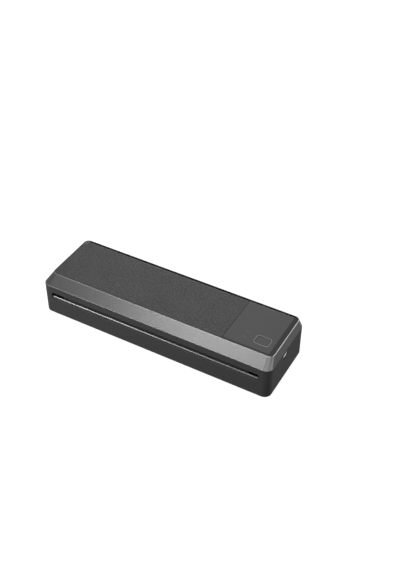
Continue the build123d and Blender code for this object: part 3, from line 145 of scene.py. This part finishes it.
class Finish(Graph):
    """A material. Its patterns lie on Object coordinates."""

    def __init__(self, name):
        self.material = bpy.data.materials.new(name)
        self.material.use_nodes = True
        super().__init__(self.material.node_tree)
        self.place = self.node("ShaderNodeTexCoord", out="Object")

    def axis(self, letter):
        """One of the Object coordinates, by its letter."""
        return self.node("ShaderNodeSeparateXYZ", sockets={"Vector": self.place}, out=letter)

    def stretched(self, x, y, z):
        """Object coordinates with each axis scaled, for grain that runs one way."""
        sockets = {0: self.place, 1: (x, y, z)}
        return self.node("ShaderNodeVectorMath", {"operation": "MULTIPLY"}, sockets)

    def noise(self, size, detail=2.0, roughness=0.5, place=None):
        """Smooth noise from 0 to 1, whose blotches are about size metres across."""
        sockets = {
            "Vector": place or self.place,
            "Scale": 1.0 / size,
            "Detail": detail,
            "Roughness": roughness,
        }
        return self.node("ShaderNodeTexNoise", sockets=sockets)

    def spread(self, value, low, high):
        """Noise, most of which lies between 0.3 and 0.7, spread between low and high."""
        sockets = {
            "Value": value,
            "From Min": 0.3,
            "From Max": 0.7,
            "To Min": low,
            "To Max": high,
        }
        return self.node("ShaderNodeMapRange", sockets=sockets)

    def mix(self, factor, low, high):
        """A colour between two others, by the Mix node's colour sockets."""
        sockets = {0: factor, 6: low, 7: high}
        return self.node("ShaderNodeMix", {"data_type": "RGBA"}, sockets, out=2)

    def mottled(self, value, colour, darker, lighter):
        """The colour, varied by noise between two factors of it."""
        tone = self.spread(value, 0.0, 1.0)
        return self.mix(tone, shade(colour, darker), shade(colour, lighter))

    def bump(self, height, depth, edge=0.0):
        """A normal from a height field, over edges that look rounded by edge metres."""
        sockets = {"Height": height, "Strength": 1.0, "Distance": depth}
        if edge:
            sockets["Normal"] = self.node("ShaderNodeBevel", {"samples": 4}, {"Radius": edge})
        return self.node("ShaderNodeBump", sockets=sockets)

    def close(self, colour, roughness, normal, **others):
        """Ends the material in one Principled shader."""
        sockets = {"Base Color": colour, "Roughness": roughness, "Normal": normal}
        for name, value in others.items():
            sockets[name.replace("_", " ")] = value
        shader = self.node("ShaderNodeBsdfPrincipled", sockets=sockets)
        self.node("ShaderNodeOutputMaterial", sockets={"Surface": shader})
        return self.material


def shade(colour, factor=1.0):
    """The colour made lighter or darker, with its alpha."""
    return tuple(channel * factor for channel in colour) + (1.0,)


# ------------------------------------------------------------------ finishes
case_grey = (0.043, 0.0431, 0.0434)
cover_grey = (0.025, 0.0251, 0.0253)
bezel_grey = (0.014, 0.0141, 0.0142)
# The grey of the painted highlight lines on the bevel's rims.
rim_highlight_grey = (0.150, 0.150, 0.151)
panel_grey = (0.025, 0.0251, 0.0253)
# The grey of the painted highlight round the button's edge.
ring_highlight_grey = (0.13, 0.13, 0.13)
button_grey = (0.026, 0.0261, 0.0263)
guide_grey = (0.024, 0.0245, 0.025)

flow_mark = 0.035
worn_edge = 0.0003

cover_low, cover_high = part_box("paper_cover")
panel_low, panel_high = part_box("control_panel")
# The cover and the panel get painted shade past these edges: a thin shadow line along the cover's
# front and port-end edges and the panel's front edge, and the panel's sloped strip at the port end,
# which faces away from the lamps.
cover_shade_edge = Vector((cover_high.x - 0.0005, cover_low.y + 0.0010, 0.0))
panel_shade_edge = Vector((panel_high.x - 0.0049, panel_low.y + 0.0020, 0.0))


def shaded_strip_mask(finish, border):
    """A mask of the strips in front of border's Y and past its X, where shade is painted."""
    return (finish.axis("Y") < border.y) | (finish.axis("X") > border.x)


def moulded(name, colour, grain, depth, roughness, contrast, specular, border=None):
    """Moulded plastic with a spark-eroded grain and slight flow marks, with painted shade, a darker
    colour, on the strips past its border.
    """
    finish = Finish(name)
    fine = finish.noise(grain, detail=3.0, roughness=0.6)
    broad = finish.noise(flow_mark)
    speckle = finish.noise(1.9 * grain)
    tone = 0.25 * broad + 0.75 * speckle
    body = finish.mottled(tone, colour, 1 - contrast, 1 + contrast)
    if border:
        # Painted shade: the strips past the border take a darker colour.
        body = finish.mix(shaded_strip_mask(finish, border), body, shade(colour, 0.6))
    dulled = finish.spread(0.5 * fine + 0.5 * broad, roughness - 0.05, roughness + 0.05)
    normal = finish.bump(fine, depth, worn_edge)
    return finish.close(body, dulled, normal, Specular_IOR_Level=specular)


def satin_bevel(name, colour):
    """The satin front bevel, with faint marks and painted highlights: a bright line painted on its
    top rim at the port end, and paler lines painted along its front top rim and its lower front
    edge. Its back left corner, which lies in the cover's plane, has the cover's grain."""
    finish = Finish(name)
    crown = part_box("top_bezel")[1].z
    skin = 0.0004
    bevel_height = 0.0070
    ripple = finish.noise(0.018, detail=1.0)
    strokes = finish.stretched(0.25, 1.0, 1.0)
    marks = finish.noise(0.0012, detail=4.0, roughness=0.7, place=strokes)
    grain = finish.noise(0.0018)
    x, y, z = (finish.axis(letter) for letter in "XYZ")
    top_face = z > crown - skin
    outside_x = (x < cover_low.x) | (x > panel_high.x)
    outside_y = (y < panel_low.y) | (y > panel_high.y)
    # Masks of the rims that carry painted highlights, standing in for the light their edges catch.
    end_rim_highlight = top_face * (x > panel_high.x)
    front_rim_highlight = top_face * (y < panel_low.y) * (1.0 - end_rim_highlight)
    foot_rim_highlight = (z < crown - bevel_height) * (y < panel_low.y)
    corner = top_face * (1.0 - (outside_x | outside_y))
    body = finish.mottled(marks, colour, 0.98, 1.02)
    body = finish.mix(corner, body, finish.mottled(grain, cover_grey, 0.4, 1.0))
    # Painted highlights: the rims take a lighter colour than the bevel.
    body = finish.mix(end_rim_highlight, body, shade(rim_highlight_grey, 2.0))
    body = finish.mix(foot_rim_highlight | front_rim_highlight, body, shade(rim_highlight_grey, 0.45))
    dulled = finish.spread(0.6 * marks + 0.4 * ripple, 0.276, 0.290) + 0.3 * corner
    normal = finish.bump(0.02 * marks + 0.5 * grain * corner, 0.00002, 0.0004)
    return finish.close(body, dulled, normal, Specular_IOR_Level=0.45)


def ringed_panel(name, colour, ring_highlight_colour):
    """The satin panel, with a thin pale ring painted round the button as the highlight on the
    button's edge, and painted shade on its front strip and sloped port-end strip.
    """
    finish = Finish(name)
    low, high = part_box("power_button")
    middle = (low + high) / 2
    button_flange = 0.0012
    ring_gap = 0.0011
    ring_width = 0.0006
    ring_radius = 0.0030
    # The ring is a rounded rectangle: reach is half of each straight run.
    reach = (high - low) / 2 - Vector.Fill(3, button_flange - ring_gap + ring_radius)
    past_x = (abs(finish.axis("X") - middle.x) - reach.x) | 0.0
    past_y = (abs(finish.axis("Y") - middle.y) - reach.y) | 0.0
    from_run = (past_x * past_x + past_y * past_y).maths("SQRT")
    # Painted highlight: a thin ring in a lighter colour, standing in for the light on the button's
    # edge.
    ring = (from_run > ring_radius - ring_width) * (from_run < ring_radius)
    fine = finish.noise(0.0003, detail=3.0)
    broad = finish.noise(flow_mark)
    body = finish.mottled(fine, colour, 0.97, 1.03)
    body = finish.mix(ring, body, shade(ring_highlight_colour))
    # Painted shade on the panel's front strip and its sloped port-end strip.
    body = finish.mix(shaded_strip_mask(finish, panel_shade_edge), body, shade(colour, 0.40))
    dulled = finish.spread(0.5 * fine + 0.5 * broad, 0.42, 0.50)
    normal = finish.bump(fine, 0.00002, worn_edge)
    return finish.close(body, dulled, normal, Specular_IOR_Level=0.18)


def lipped_guide(name, colour):
    """The feed guide, with a painted highlight on its rounded front lip, a thin strip of lighter,
    partly metallic colour, and painted light on its floor behind the lip, which lies in the slot's
    shade.
    """
    finish = Finish(name)
    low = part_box("lower_paper_guide")[0]
    lip_depth = 0.0014
    strip_foot = low.z + 0.0018
    strip_top = low.z + 0.0026
    # Painted light: a lighter grey for the guide inside the shaded slot, and a lighter one for the
    # painted highlight strip on the lip.
    inside_painted_light_grey = (0.042, 0.042, 0.042)
    lip_highlight_grey = (0.105, 0.105, 0.105)
    lines = finish.noise(0.0006, detail=3.0, place=finish.stretched(0.2, 1.0, 1.0))
    y, z = finish.axis("Y"), finish.axis("Z")
    # The strip carries a painted highlight: lighter and partly metallic, where the line of light
    # falls on the lip.
    strip = (y < low.y + lip_depth) * (z > strip_foot) * (z < strip_top)
    # Painted light: the guide behind the lip is lighter, standing in for light that reaches into
    # the shaded slot.
    inside = y > low.y + lip_depth + 0.0002
    body = finish.mottled(lines, colour, 0.92, 1.06)
    body = finish.mix(inside, body, shade(inside_painted_light_grey))
    body = finish.mix(strip, body, shade(lip_highlight_grey))
    dulled = finish.spread(lines, 0.24, 0.30)
    normal = finish.bump(lines, 0.000003, 0.0001)
    return finish.close(body, dulled, normal, Metallic=0.25 * strip)


def worked_metal(name, colour, roughness, run=(1.0, 1.0, 1.0)):
    """Metal with fine drawn or ground lines; run stretches them along one axis."""
    finish = Finish(name)
    lines = finish.noise(0.0004, detail=3.0, roughness=0.6, place=finish.stretched(*run))
    stain = finish.noise(0.012, detail=3.0)
    body = finish.mottled(stain, colour, 0.86, 1.08)
    dulled = finish.spread(0.6 * lines + 0.4 * stain, roughness - 0.07, roughness + 0.09)
    return finish.close(body, dulled, finish.bump(lines, 0.00002, 0.00015), Metallic=1.0)


def soft_rubber(name, colour, grain, depth):
    """Rubber with a dusty, finely ground face."""
    finish = Finish(name)
    fine = finish.noise(grain, detail=4.0, roughness=0.7)
    dust = finish.noise(0.009, detail=3.0)
    body = finish.mottled(dust, colour, 0.8, 1.35)
    dulled = finish.spread(0.5 * fine + 0.5 * dust, 0.66, 0.80)
    return finish.close(body, dulled, finish.bump(fine, depth), Specular_IOR_Level=0.3)


def natural_resin(name, colour, roughness=0.42):
    """Pale unfilled moulding, such as acetal, nylon or glazed alumina."""
    finish = Finish(name)
    cloud = finish.noise(0.004, detail=3.0)
    fine = finish.noise(0.0003)
    body = finish.mottled(cloud, colour, 0.93, 1.04)
    dulled = finish.spread(0.5 * cloud + 0.5 * fine, roughness - 0.05, roughness + 0.06)
    return finish.close(body, dulled, finish.bump(fine, 0.00001, 0.00015))


def circuit_laminate(name):
    """Green solder mask over runs of copper, with the weave of the laminate under it."""
    finish = Finish(name)
    mask = (0.010, 0.085, 0.032)
    copper_run = (0.030, 0.170, 0.060)
    runs_per_metre_x, runs_per_metre_y = 620.0, 540.0
    run_share = 0.35
    across = (finish.axis("X") * runs_per_metre_x).fraction() < run_share
    along = (finish.axis("Y") * runs_per_metre_y).fraction() < run_share
    patches = finish.noise(0.009, detail=1.0)
    run = across * (patches > 0.52) | along * (patches < 0.44)
    weave = finish.noise(0.0005)
    body = finish.mix(run, shade(mask), shade(copper_run))
    dulled = finish.spread(weave, 0.30, 0.42)
    return finish.close(body, dulled, finish.bump(run + 0.2 * weave, 0.00003))


def striped_film(name):
    """White ribbon film, with its flat conductors showing through as faint lines."""
    finish = Finish(name)
    film = (0.62, 0.62, 0.60)
    conductors_per_metre = 1000.0
    wave = (finish.axis("Y") * conductors_per_metre * 2 * math.pi).maths("SINE")
    dust = finish.noise(0.006)
    body = finish.mix(wave > 0.2, shade(film), shade(film, 0.72))
    dulled = finish.spread(dust, 0.28, 0.40)
    return finish.close(body, dulled, finish.bump(wave, 0.00002))


def port_metal(name):
    """Nickel plated port shell round a black tongue with gilt contacts."""
    finish = Finish(name)
    low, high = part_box("usb_receptacle")
    middle = (low + high) / 2
    black = (0.012, 0.012, 0.012)
    nickel = (0.60, 0.60, 0.58)
    gilt = (0.83, 0.60, 0.25)
    contacts_per_metre = 2000.0
    y = finish.axis("Y")
    away_y = abs(y - middle.y)
    away_z = abs(finish.axis("Z") - middle.z)
    tongue = (away_y < 0.0034) * (away_z < 0.0004)
    flats = (away_y < 0.0030) * (away_z > 0.0003)
    contact = ((y * contacts_per_metre).fraction() < 0.5) * flats
    wear = finish.noise(0.0011, detail=3.0)
    body = finish.mix(tongue, shade(nickel), shade(black))
    body = finish.mix(tongue * contact, body, shade(gilt))
    dulled = finish.spread(wear, 0.22, 0.38) + 0.2 * tongue
    metallic = 1.0 - tongue * (1.0 - contact)
    return finish.close(body, dulled, finish.bump(wear, 0.00001, worn_edge), Metallic=metallic)


def chip_epoxy(name):
    """Black moulded epoxy with a sparkling filler."""
    finish = Finish(name)
    fine = finish.noise(0.0002)
    darker, lighter = (0.012, 0.012, 0.013), (0.030, 0.030, 0.031)
    body = finish.mix(finish.spread(fine, 0.0, 1.0), shade(darker), shade(lighter))
    dulled = finish.spread(fine, 0.48, 0.60)
    return finish.close(body, dulled, finish.bump(fine, 0.00001, 0.0001))


def shrink_sleeve(name):
    """Glossy shrink sleeve on the cells, slightly wrinkled."""
    finish = Finish(name)
    wrinkle = finish.noise(0.004, place=finish.stretched(0.4, 1.0, 1.0))
    darker, lighter = (0.010, 0.070, 0.200), (0.016, 0.100, 0.260)
    body = finish.mix(finish.spread(wrinkle, 0.0, 1.0), shade(darker), shade(lighter))
    dulled = finish.spread(wrinkle, 0.20, 0.30)
    return finish.close(body, dulled, finish.bump(wrinkle, 0.0002, 0.0002))


def smoked_lens(name, colour):
    """Light pipe that is dark while its light is off."""
    finish = Finish(name)
    cloud = finish.noise(0.0015)
    body = finish.mottled(cloud, colour, 0.85, 1.15)
    dulled = finish.spread(cloud, 0.40, 0.48)
    normal = finish.bump(cloud, 0.00001, 0.0001)
    return finish.close(body, dulled, normal, Specular_IOR_Level=0.25)


finishes = {
    # moulded: name, colour, grain, its depth, roughness, contrast, specular level, edge of its
    # painted shade
    "case_plastic": moulded("case_plastic", case_grey, 0.0005, 0.00005, 0.50, 0.08, 0.01),
    "cover_plastic": moulded(
        "cover_plastic", cover_grey, 0.0008, 0.00016, 0.54, 0.55, 0.15, cover_shade_edge
    ),
    "button_plastic": moulded("button_plastic", button_grey, 0.0003, 0.00002, 0.46, 0.04, 0.18),
    "bezel_plastic": satin_bevel("bezel_plastic", bezel_grey),
    "panel_plastic": ringed_panel("panel_plastic", panel_grey, ring_highlight_grey),
    "lens": smoked_lens("lens", (0.036, 0.0362, 0.0365)),
    "guide_plastic": lipped_guide("guide_plastic", guide_grey),
    # worked_metal: name, colour, roughness, run of the lines
    "sheet_steel": worked_metal("sheet_steel", (0.58, 0.58, 0.56), 0.36, (1.0, 0.12, 1.0)),
    "ground_steel": worked_metal("ground_steel", (0.66, 0.66, 0.66), 0.22),
    "spring_steel": worked_metal("spring_steel", (0.48, 0.48, 0.47), 0.30),
    "screw_steel": worked_metal("screw_steel", (0.10, 0.10, 0.105), 0.34),
    "motor_can": worked_metal("motor_can", (0.42, 0.42, 0.42), 0.34, (0.15, 1.0, 1.0)),
    "heat_sink": worked_metal("heat_sink", (0.70, 0.70, 0.71), 0.38, (0.06, 1.0, 1.0)),
    # soft_rubber: name, colour, grain, its depth
    "platen_rubber": soft_rubber("platen_rubber", (0.030, 0.030, 0.032), 0.0004, 0.00002),
    "foot_rubber": soft_rubber("foot_rubber", (0.016, 0.016, 0.016), 0.0005, 0.00004),
    # natural_resin: name, colour, roughness
    "gear_acetal": natural_resin("gear_acetal", (0.74, 0.73, 0.68)),
    "ceramic_board": natural_resin("ceramic_board", (0.78, 0.75, 0.68), 0.25),
    "socket_plastic": natural_resin("socket_plastic", (0.70, 0.65, 0.54)),
    "led_resin": natural_resin("led_resin", (0.80, 0.78, 0.66), 0.20),
    "driver_cover": chip_epoxy("driver_cover"),
    "chip_plastic": chip_epoxy("chip_plastic"),
    "cell_wrap": shrink_sleeve("cell_wrap"),
    "board_laminate": circuit_laminate("board_laminate"),
    "port_shell": port_metal("port_shell"),
    "ribbon_film": striped_film("ribbon_film"),
}

for part in frame["record"]["subparts"]:
    dressed = nodes[part["node"]]
    dressed.data.materials.clear()
    dressed.data.materials.append(finishes[part["material_slot"]])


# ------------------------------------------------------------------ screws
def add_object(name, data):
    """A new object in the scene."""
    made = bpy.data.objects.new(name, data)
    bpy.context.scene.collection.objects.link(made)
    return made


def mesh_object(name, shape):
    """A new object from a bmesh, which is freed."""
    mesh = bpy.data.meshes.new(name)
    shape.to_mesh(mesh)
    shape.free()
    return add_object(name, mesh)


def plain_mesh(modified):
    """The mesh that an object's modifiers make."""
    bpy.context.view_layer.update()
    graph = bpy.context.evaluated_depsgraph_get()
    return bpy.data.meshes.new_from_object(modified.evaluated_get(graph))


def bridge(shape, first, second):
    """Faces between two rings of points, either of which may be one point."""
    steps = max(len(first), len(second))
    for step in range(steps):
        after = (step + 1) % steps
        quad = [first[step % len(first)], first[after % len(first)]]
        quad += [second[after % len(second)], second[step % len(second)]]
        shape.faces.new(list(dict.fromkeys(quad)))


def lathe(profile, steps):
    """A closed round mesh about Z from (radius, height) points, the first and last on the axis."""
    shape = bmesh.new()
    rings = []
    for radius, height in profile:
        turns = [2 * math.pi * step / steps for step in range(steps if radius else 1)]
        points = [(radius * math.cos(turn), radius * math.sin(turn), height) for turn in turns]
        rings.append([shape.verts.new(point) for point in points])
    for lower, upper in zip(rings, rings[1:]):
        bridge(shape, lower, upper)
    bmesh.ops.recalc_face_normals(shape, faces=shape.faces)
    return shape


def screw_mesh(head_radius, head_height, shank_radius, shank_length):
    """A pan head at Z 0 and above, with a cross recess, and a threaded shank below it."""
    facets = 24
    pitch = 0.0006
    root_radius = 0.82 * shank_radius
    crest_radius = 0.97 * shank_radius
    crown_rise = 0.35 * head_height
    crown_steps = 5
    blade_length = 1.25 * head_radius
    blade_width = 0.28 * head_radius
    blade_height = 1.1 * head_height
    profile = [(0.0, -shank_length)]
    for turn in range(int((shank_length - pitch) / pitch)):
        foot = -shank_length + turn * pitch
        profile += [(root_radius, foot), (crest_radius, foot + pitch / 2)]
    profile += [(root_radius, -pitch), (root_radius, 0.0), (head_radius, 0.0)]
    for step in range(crown_steps + 1):
        turn = math.pi / 2 * step / crown_steps
        radius = head_radius - crown_rise * (1 - math.cos(turn))
        profile.append((radius, head_height - crown_rise * (1 - math.sin(turn))))
    profile.append((0.0, head_height))
    screw = mesh_object("screw_form", lathe(profile, facets))
    recess = bmesh.new()
    blade = Matrix.Diagonal((blade_length, blade_width, blade_height, 1.0))
    lift = Matrix.Translation((0.0, 0.0, head_height))
    for quarter in (0.0, math.pi / 2):
        bmesh.ops.create_cube(
            recess, size=1.0, matrix=lift @ Matrix.Rotation(quarter, 4, "Z") @ blade
        )
    cross = mesh_object("cross_form", recess)
    cut = screw.modifiers.new("recess", "BOOLEAN")
    cut.operation = "DIFFERENCE"
    cut.object = cross
    cut.use_self = True
    done = plain_mesh(screw)
    for scrap in (screw, cross):
        bpy.data.objects.remove(scrap)
    return add_object("screw_form", done)


def instancing_tree():
    """Geometry Nodes that set one form on each point, turned by chance, as a single mesh."""
    group = bpy.data.node_groups.new("form_on_points", "GeometryNodeTree")
    inputs = {
        "Points": "NodeSocketGeometry",
        "Form": "NodeSocketObject",
        "Tilt": "NodeSocketVector",
        "Seed": "NodeSocketInt",
        "Finish": "NodeSocketMaterial",
    }
    for name, kind in inputs.items():
        group.interface.new_socket(name, in_out="INPUT", socket_type=kind)
    group.interface.new_socket("Mesh", in_out="OUTPUT", socket_type="NodeSocketGeometry")
    steps = Graph(group)
    points, form, tilt, seed, finish = (steps.node("NodeGroupInput", out=name) for name in inputs)
    shape = steps.node("GeometryNodeObjectInfo", sockets={"Object": form}, out="Geometry")
    quarter_turn = {0: (0.0, 0.0, 0.0), 1: (0.0, 0.0, math.pi / 2), "Seed": seed}
    spin = steps.node("FunctionNodeRandomValue", {"data_type": "FLOAT_VECTOR"}, quarter_turn)
    scatter = {"Points": points, "Instance": shape, "Rotation": tilt}
    set_down = steps.node("GeometryNodeInstanceOnPoints", sockets=scatter)
    twist = {"Instances": set_down, "Rotation": spin}
    twisted = steps.node("GeometryNodeRotateInstances", sockets=twist)
    joined = steps.node("GeometryNodeRealizeInstances", sockets={"Geometry": twisted})
    paint = {"Geometry": joined, "Material": finish}
    painted = steps.node("GeometryNodeSetMaterial", sockets=paint)
    steps.node("NodeGroupOutput", sockets={"Mesh": painted})
    return group


form_on_points = instancing_tree()


def set_on_points(name, points, form, tilt, seed, finish):
    """One plain mesh with the form at every point. The form is used up."""
    cloud = bpy.data.meshes.new(name)
    cloud.from_pydata(points, [], [])
    carrier = add_object(name, cloud)
    scatter = carrier.modifiers.new("scatter", "NODES")
    scatter.node_group = form_on_points
    values = {"Form": form, "Tilt": tilt, "Seed": seed, "Finish": finish}
    for socket in form_on_points.interface.items_tree:
        if socket.in_out == "INPUT" and socket.name in values:
            scatter[socket.identifier] = values[socket.name]
    done = plain_mesh(carrier)
    carrier.modifiers.clear()
    carrier.data = done
    bpy.data.objects.remove(form)
    return carrier


def corners(low, high, inset, height):
    """The four corners of a box seen from above, drawn in by inset."""
    left, right = low.x + inset, high.x - inset
    front, back = low.y + inset, high.y - inset
    return [Vector((x, y, height)) for x in (left, right) for y in (front, back)]


upright_tilt = (0.0, 0.0, 0.0)
upside_down = (math.pi, 0.0, 0.0)

screw_sets = (
    # node, head radius, head height, shank radius, heads up
    ("case_screws", 0.0022, 0.0015, 0.0011, False),
    ("chassis_screws", 0.0022, 0.0015, 0.0011, True),
    ("panel_screws", 0.0019, 0.0011, 0.0011, False),
)
for seed, (node, head_radius, head_height, shank_radius, heads_up) in enumerate(screw_sets):
    low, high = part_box(node)
    shank_length = high.z - low.z - head_height
    seat = high.z - head_height if heads_up else low.z + head_height
    tilt = upright_tilt if heads_up else upside_down
    form = screw_mesh(head_radius, head_height, shank_radius, shank_length)
    points = corners(low, high, head_radius, seat)
    screws = set_on_points(node + "_dressed", points, form, tilt, seed, finishes["screw_steel"])
    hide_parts(node)
    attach(screws, "case")


# ------------------------------------------------------------------ feet
foot_low, foot_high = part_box("rubber_feet")
foot_radius = 0.005
foot_depth = foot_high.z - foot_low.z
foot_border = 0.0005
groove_depth = 0.00045
ridge_width = 0.00045
groove_flare = 0.4 * ridge_width
ridge_pitch = 2.4 * ridge_width
ridge_count = 4
foot_facets = 48
foot_seed = 7
foot_profile = [(0.0, foot_depth), (foot_radius, foot_depth), (foot_radius, groove_depth)]
for ridge in range(ridge_count):
    outer = foot_radius - foot_border - ridge * ridge_pitch
    inner = outer - ridge_width
    foot_profile += [(outer, 0.0), (inner, 0.0), (inner - groove_flare, groove_depth)]
foot_profile.append((0.0, groove_depth))
foot_form = mesh_object("foot_form", lathe(foot_profile, foot_facets))
foot_points = corners(foot_low, foot_high, foot_radius, foot_low.z)
feet = set_on_points(
    "rubber_feet_dressed",
    foot_points,
    foot_form,
    upright_tilt,
    foot_seed,
    finishes["foot_rubber"],
)
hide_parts("rubber_feet")
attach(feet, "case")


# ------------------------------------------------------------------ port
port_low, port_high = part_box("usb_receptacle")
port_centre = (port_low + port_high) / 2
port_size = port_high - port_low
port_wall = 0.0003
lead_in = 0.0003
back_wall = 0.0010
tongue_setback = 0.0008
tongue_width = 0.0066
tongue_thickness = 0.0007


def slot_ring(shape, place, inset):
    """A ring of points in the plane X = place, round the port's slot drawn in by inset."""
    arc_steps = 10
    radius = port_size.z / 2 - inset
    reach = (port_size.y - port_size.z) / 2
    ring = []
    for side, start in ((1, -0.5), (-1, 0.5)):
        for step in range(arc_steps + 1):
            turn = math.pi * (step / arc_steps + start)
            y = port_centre.y + side * reach + radius * math.cos(turn)
            ring.append(shape.verts.new((place, y, port_centre.z + radius * math.sin(turn))))
    return ring


port_shape = bmesh.new()
sections = (
    (port_low.x, 0.0),
    (port_high.x, 0.0),
    (port_high.x - lead_in, port_wall),
    (port_low.x + back_wall, port_wall),
)
rings = [slot_ring(port_shape, place, inset) for place, inset in sections]
for first, second in zip(rings, rings[1:]):
    bridge(port_shape, first, second)
port_shape.faces.new(rings[0])
port_shape.faces.new(rings[-1])
tongue_root = port_low.x + back_wall / 2
tongue_tip = port_high.x - tongue_setback
tongue_size = (tongue_tip - tongue_root, tongue_width, tongue_thickness, 1.0)
tongue_place = ((tongue_root + tongue_tip) / 2, port_centre.y, port_centre.z)
tongue_matrix = Matrix.Translation(tongue_place) @ Matrix.Diagonal(tongue_size)
bmesh.ops.create_cube(port_shape, size=1.0, matrix=tongue_matrix)
bmesh.ops.recalc_face_normals(port_shape, faces=port_shape.faces)
port = mesh_object("usb_receptacle_dressed", port_shape)
port.data.materials.append(finishes["port_shell"])
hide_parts("usb_receptacle")
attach(port, "case")


# ------------------------------------------------------------------ springs
# The head's springs, welded into one mesh and carried by the case. How far the head's turn would
# shorten them is worked out but not applied.
spring_low, spring_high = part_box("head_springs")
spring_length = spring_high.z - spring_low.z
joints = frame["record"]["behaviour"]["joints"]
pivot = next(joint for joint in joints if joint["name"] == "head_pivot")
head_turn = math.radians(pivot["range_deg"][1])
head_rise = (pivot["pos_m"][1] - spring_low.y) * math.sin(head_turn)
spring_shape = bmesh.new()
spring_shape.from_mesh(nodes["head_springs"].data)
spring_shape.transform(nodes["head_springs"].matrix_world)
bmesh.ops.remove_doubles(spring_shape, verts=spring_shape.verts, dist=0.000001)
springs = mesh_object("head_springs_dressed", spring_shape)
springs.data.materials.append(finishes["spring_steel"])
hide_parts("head_springs")
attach(springs, "case")
1.0 - head_rise / spring_length
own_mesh(springs)


# ------------------------------------------------------------------ floor and air
def floor_finish():
    """Pale floor that takes a soft shadow and shows white to the camera and in reflections."""
    finish = Finish("pale_floor")
    near_glow = 0.84
    glow_rise = 0.4
    glow_start = 0.4
    dull = finish.node("ShaderNodeBsdfDiffuse", sockets={"Color": (0.12, 0.12, 0.12, 1.0)})
    shadowed = finish.node("ShaderNodeBsdfDiffuse", sockets={"Color": (0.20, 0.20, 0.20, 1.0)})
    from_centre = finish.node(
        "ShaderNodeVectorMath", {"operation": "LENGTH"}, {0: finish.place}, out="Value"
    )
    away = (from_centre - glow_start) | 0.0
    strength = (near_glow + glow_rise * away).maths("MINIMUM", 1.0)
    glow = finish.node("ShaderNodeEmission", sockets={"Strength": strength})
    white = finish.node("ShaderNodeAddShader", sockets={0: shadowed, 1: glow})
    seen = {0: finish.seen_rays(), 1: dull, 2: white}
    blend = finish.node("ShaderNodeMixShader", sockets=seen)
    finish.node("ShaderNodeOutputMaterial", sockets={"Surface": blend})
    return finish.material


floor_reach = 4.0
floor_shape = bmesh.new()
bmesh.ops.create_grid(floor_shape, x_segments=1, y_segments=1, size=floor_reach)
floor = mesh_object("floor", floor_shape)
floor.data.materials.append(floor_finish())

air_glow = 0.09
world = bpy.data.worlds.new("studio")
world.use_nodes = True
sky = Graph(world.node_tree)
sky_strength = air_glow + (1.0 - air_glow) * sky.seen_rays()
white_air = {"Color": (1.0, 1.0, 1.0, 1.0), "Strength": sky_strength}
air = sky.node("ShaderNodeBackground", sockets=white_air)
sky.node("ShaderNodeOutputWorld", sockets={"Surface": air})
bpy.context.scene.world = world
bpy.context.scene.view_settings.view_transform = "Standard"


# ------------------------------------------------------------------ lights and camera
def stand(thing, place, right, up, back):
    """Puts a lamp or a camera in its place. It looks away from back."""
    thing.matrix_world = Matrix.Translation(place) @ Matrix((right, up, back)).transposed().to_4x4()


lit_point = Vector((0.0, 0.0, 0.03))
lengthwise = (1.0, 0.0, 0.0)
softboxes = (
    # name, direction from the printer, distance, width, height, radiance, where its width runs
    ("key_softbox", (-0.29, -0.21, 0.93), 1.40, 0.36, 0.36, 19.0, lengthwise),
    ("fill_softbox", (-0.53, -0.70, 0.48), 0.95, 0.36, 0.36, 23.0, lengthwise),
    ("back_softbox", (-0.12, 0.60, 0.79), 1.80, 0.80, 0.70, 3.2, lengthwise),
    ("corner_softbox", (0.22, -0.26, 0.94), 1.40, 0.90, 0.40, 8.0, lengthwise),
    ("end_softbox", (0.80, 0.05, 0.60), 1.20, 0.85, 0.26, 8.5, (0.53, 0.59, -0.61)),
    ("rim_softbox", (0.70, 0.66, 0.27), 1.40, 0.24, 0.30, 8.0, lengthwise),
    ("rear_softbox", (-0.40, 0.87, 0.28), 1.60, 0.60, 0.40, 7.0, lengthwise),
)
for name, direction, distance, width, height, radiance, along in softboxes:
    lamp = bpy.data.lights.new(name, "AREA")
    lamp.shape = "RECTANGLE"
    lamp.size = width
    lamp.size_y = height
    lamp.energy = radiance * math.pi * width * height
    back = Vector(direction).normalized()
    side = (Vector(along) - Vector(along).dot(back) * back).normalized()
    stand(add_object(name, lamp), lit_point + distance * back, side, back.cross(side), back)

camera_data = bpy.data.cameras.new("photo_camera")
camera_data.sensor_fit = "AUTO"
camera_data.sensor_width = 36.0
camera_data.lens = 57.48
camera_data.clip_start = 0.05
camera_data.clip_end = 20.0
camera = add_object("photo_camera", camera_data)
azimuth = math.radians(28.87)
elevation = math.radians(40.89)
camera_roll = math.radians(0.46)
camera_distance = 1.0062
camera_target = Vector((0.0012, 0.0616, 0.0167))
ground = Vector((math.sin(azimuth), -math.cos(azimuth), 0.0)) * math.cos(elevation)
backward = ground + Vector((0.0, 0.0, math.sin(elevation)))
level = Vector((math.cos(azimuth), math.sin(azimuth), 0.0))
upright = backward.cross(level)
right = level * math.cos(camera_roll) + upright * math.sin(camera_roll)
up = upright * math.cos(camera_roll) - level * math.sin(camera_roll)
stand(camera, camera_target + camera_distance * backward, right, up, backward)
bpy.context.scene.camera = camera
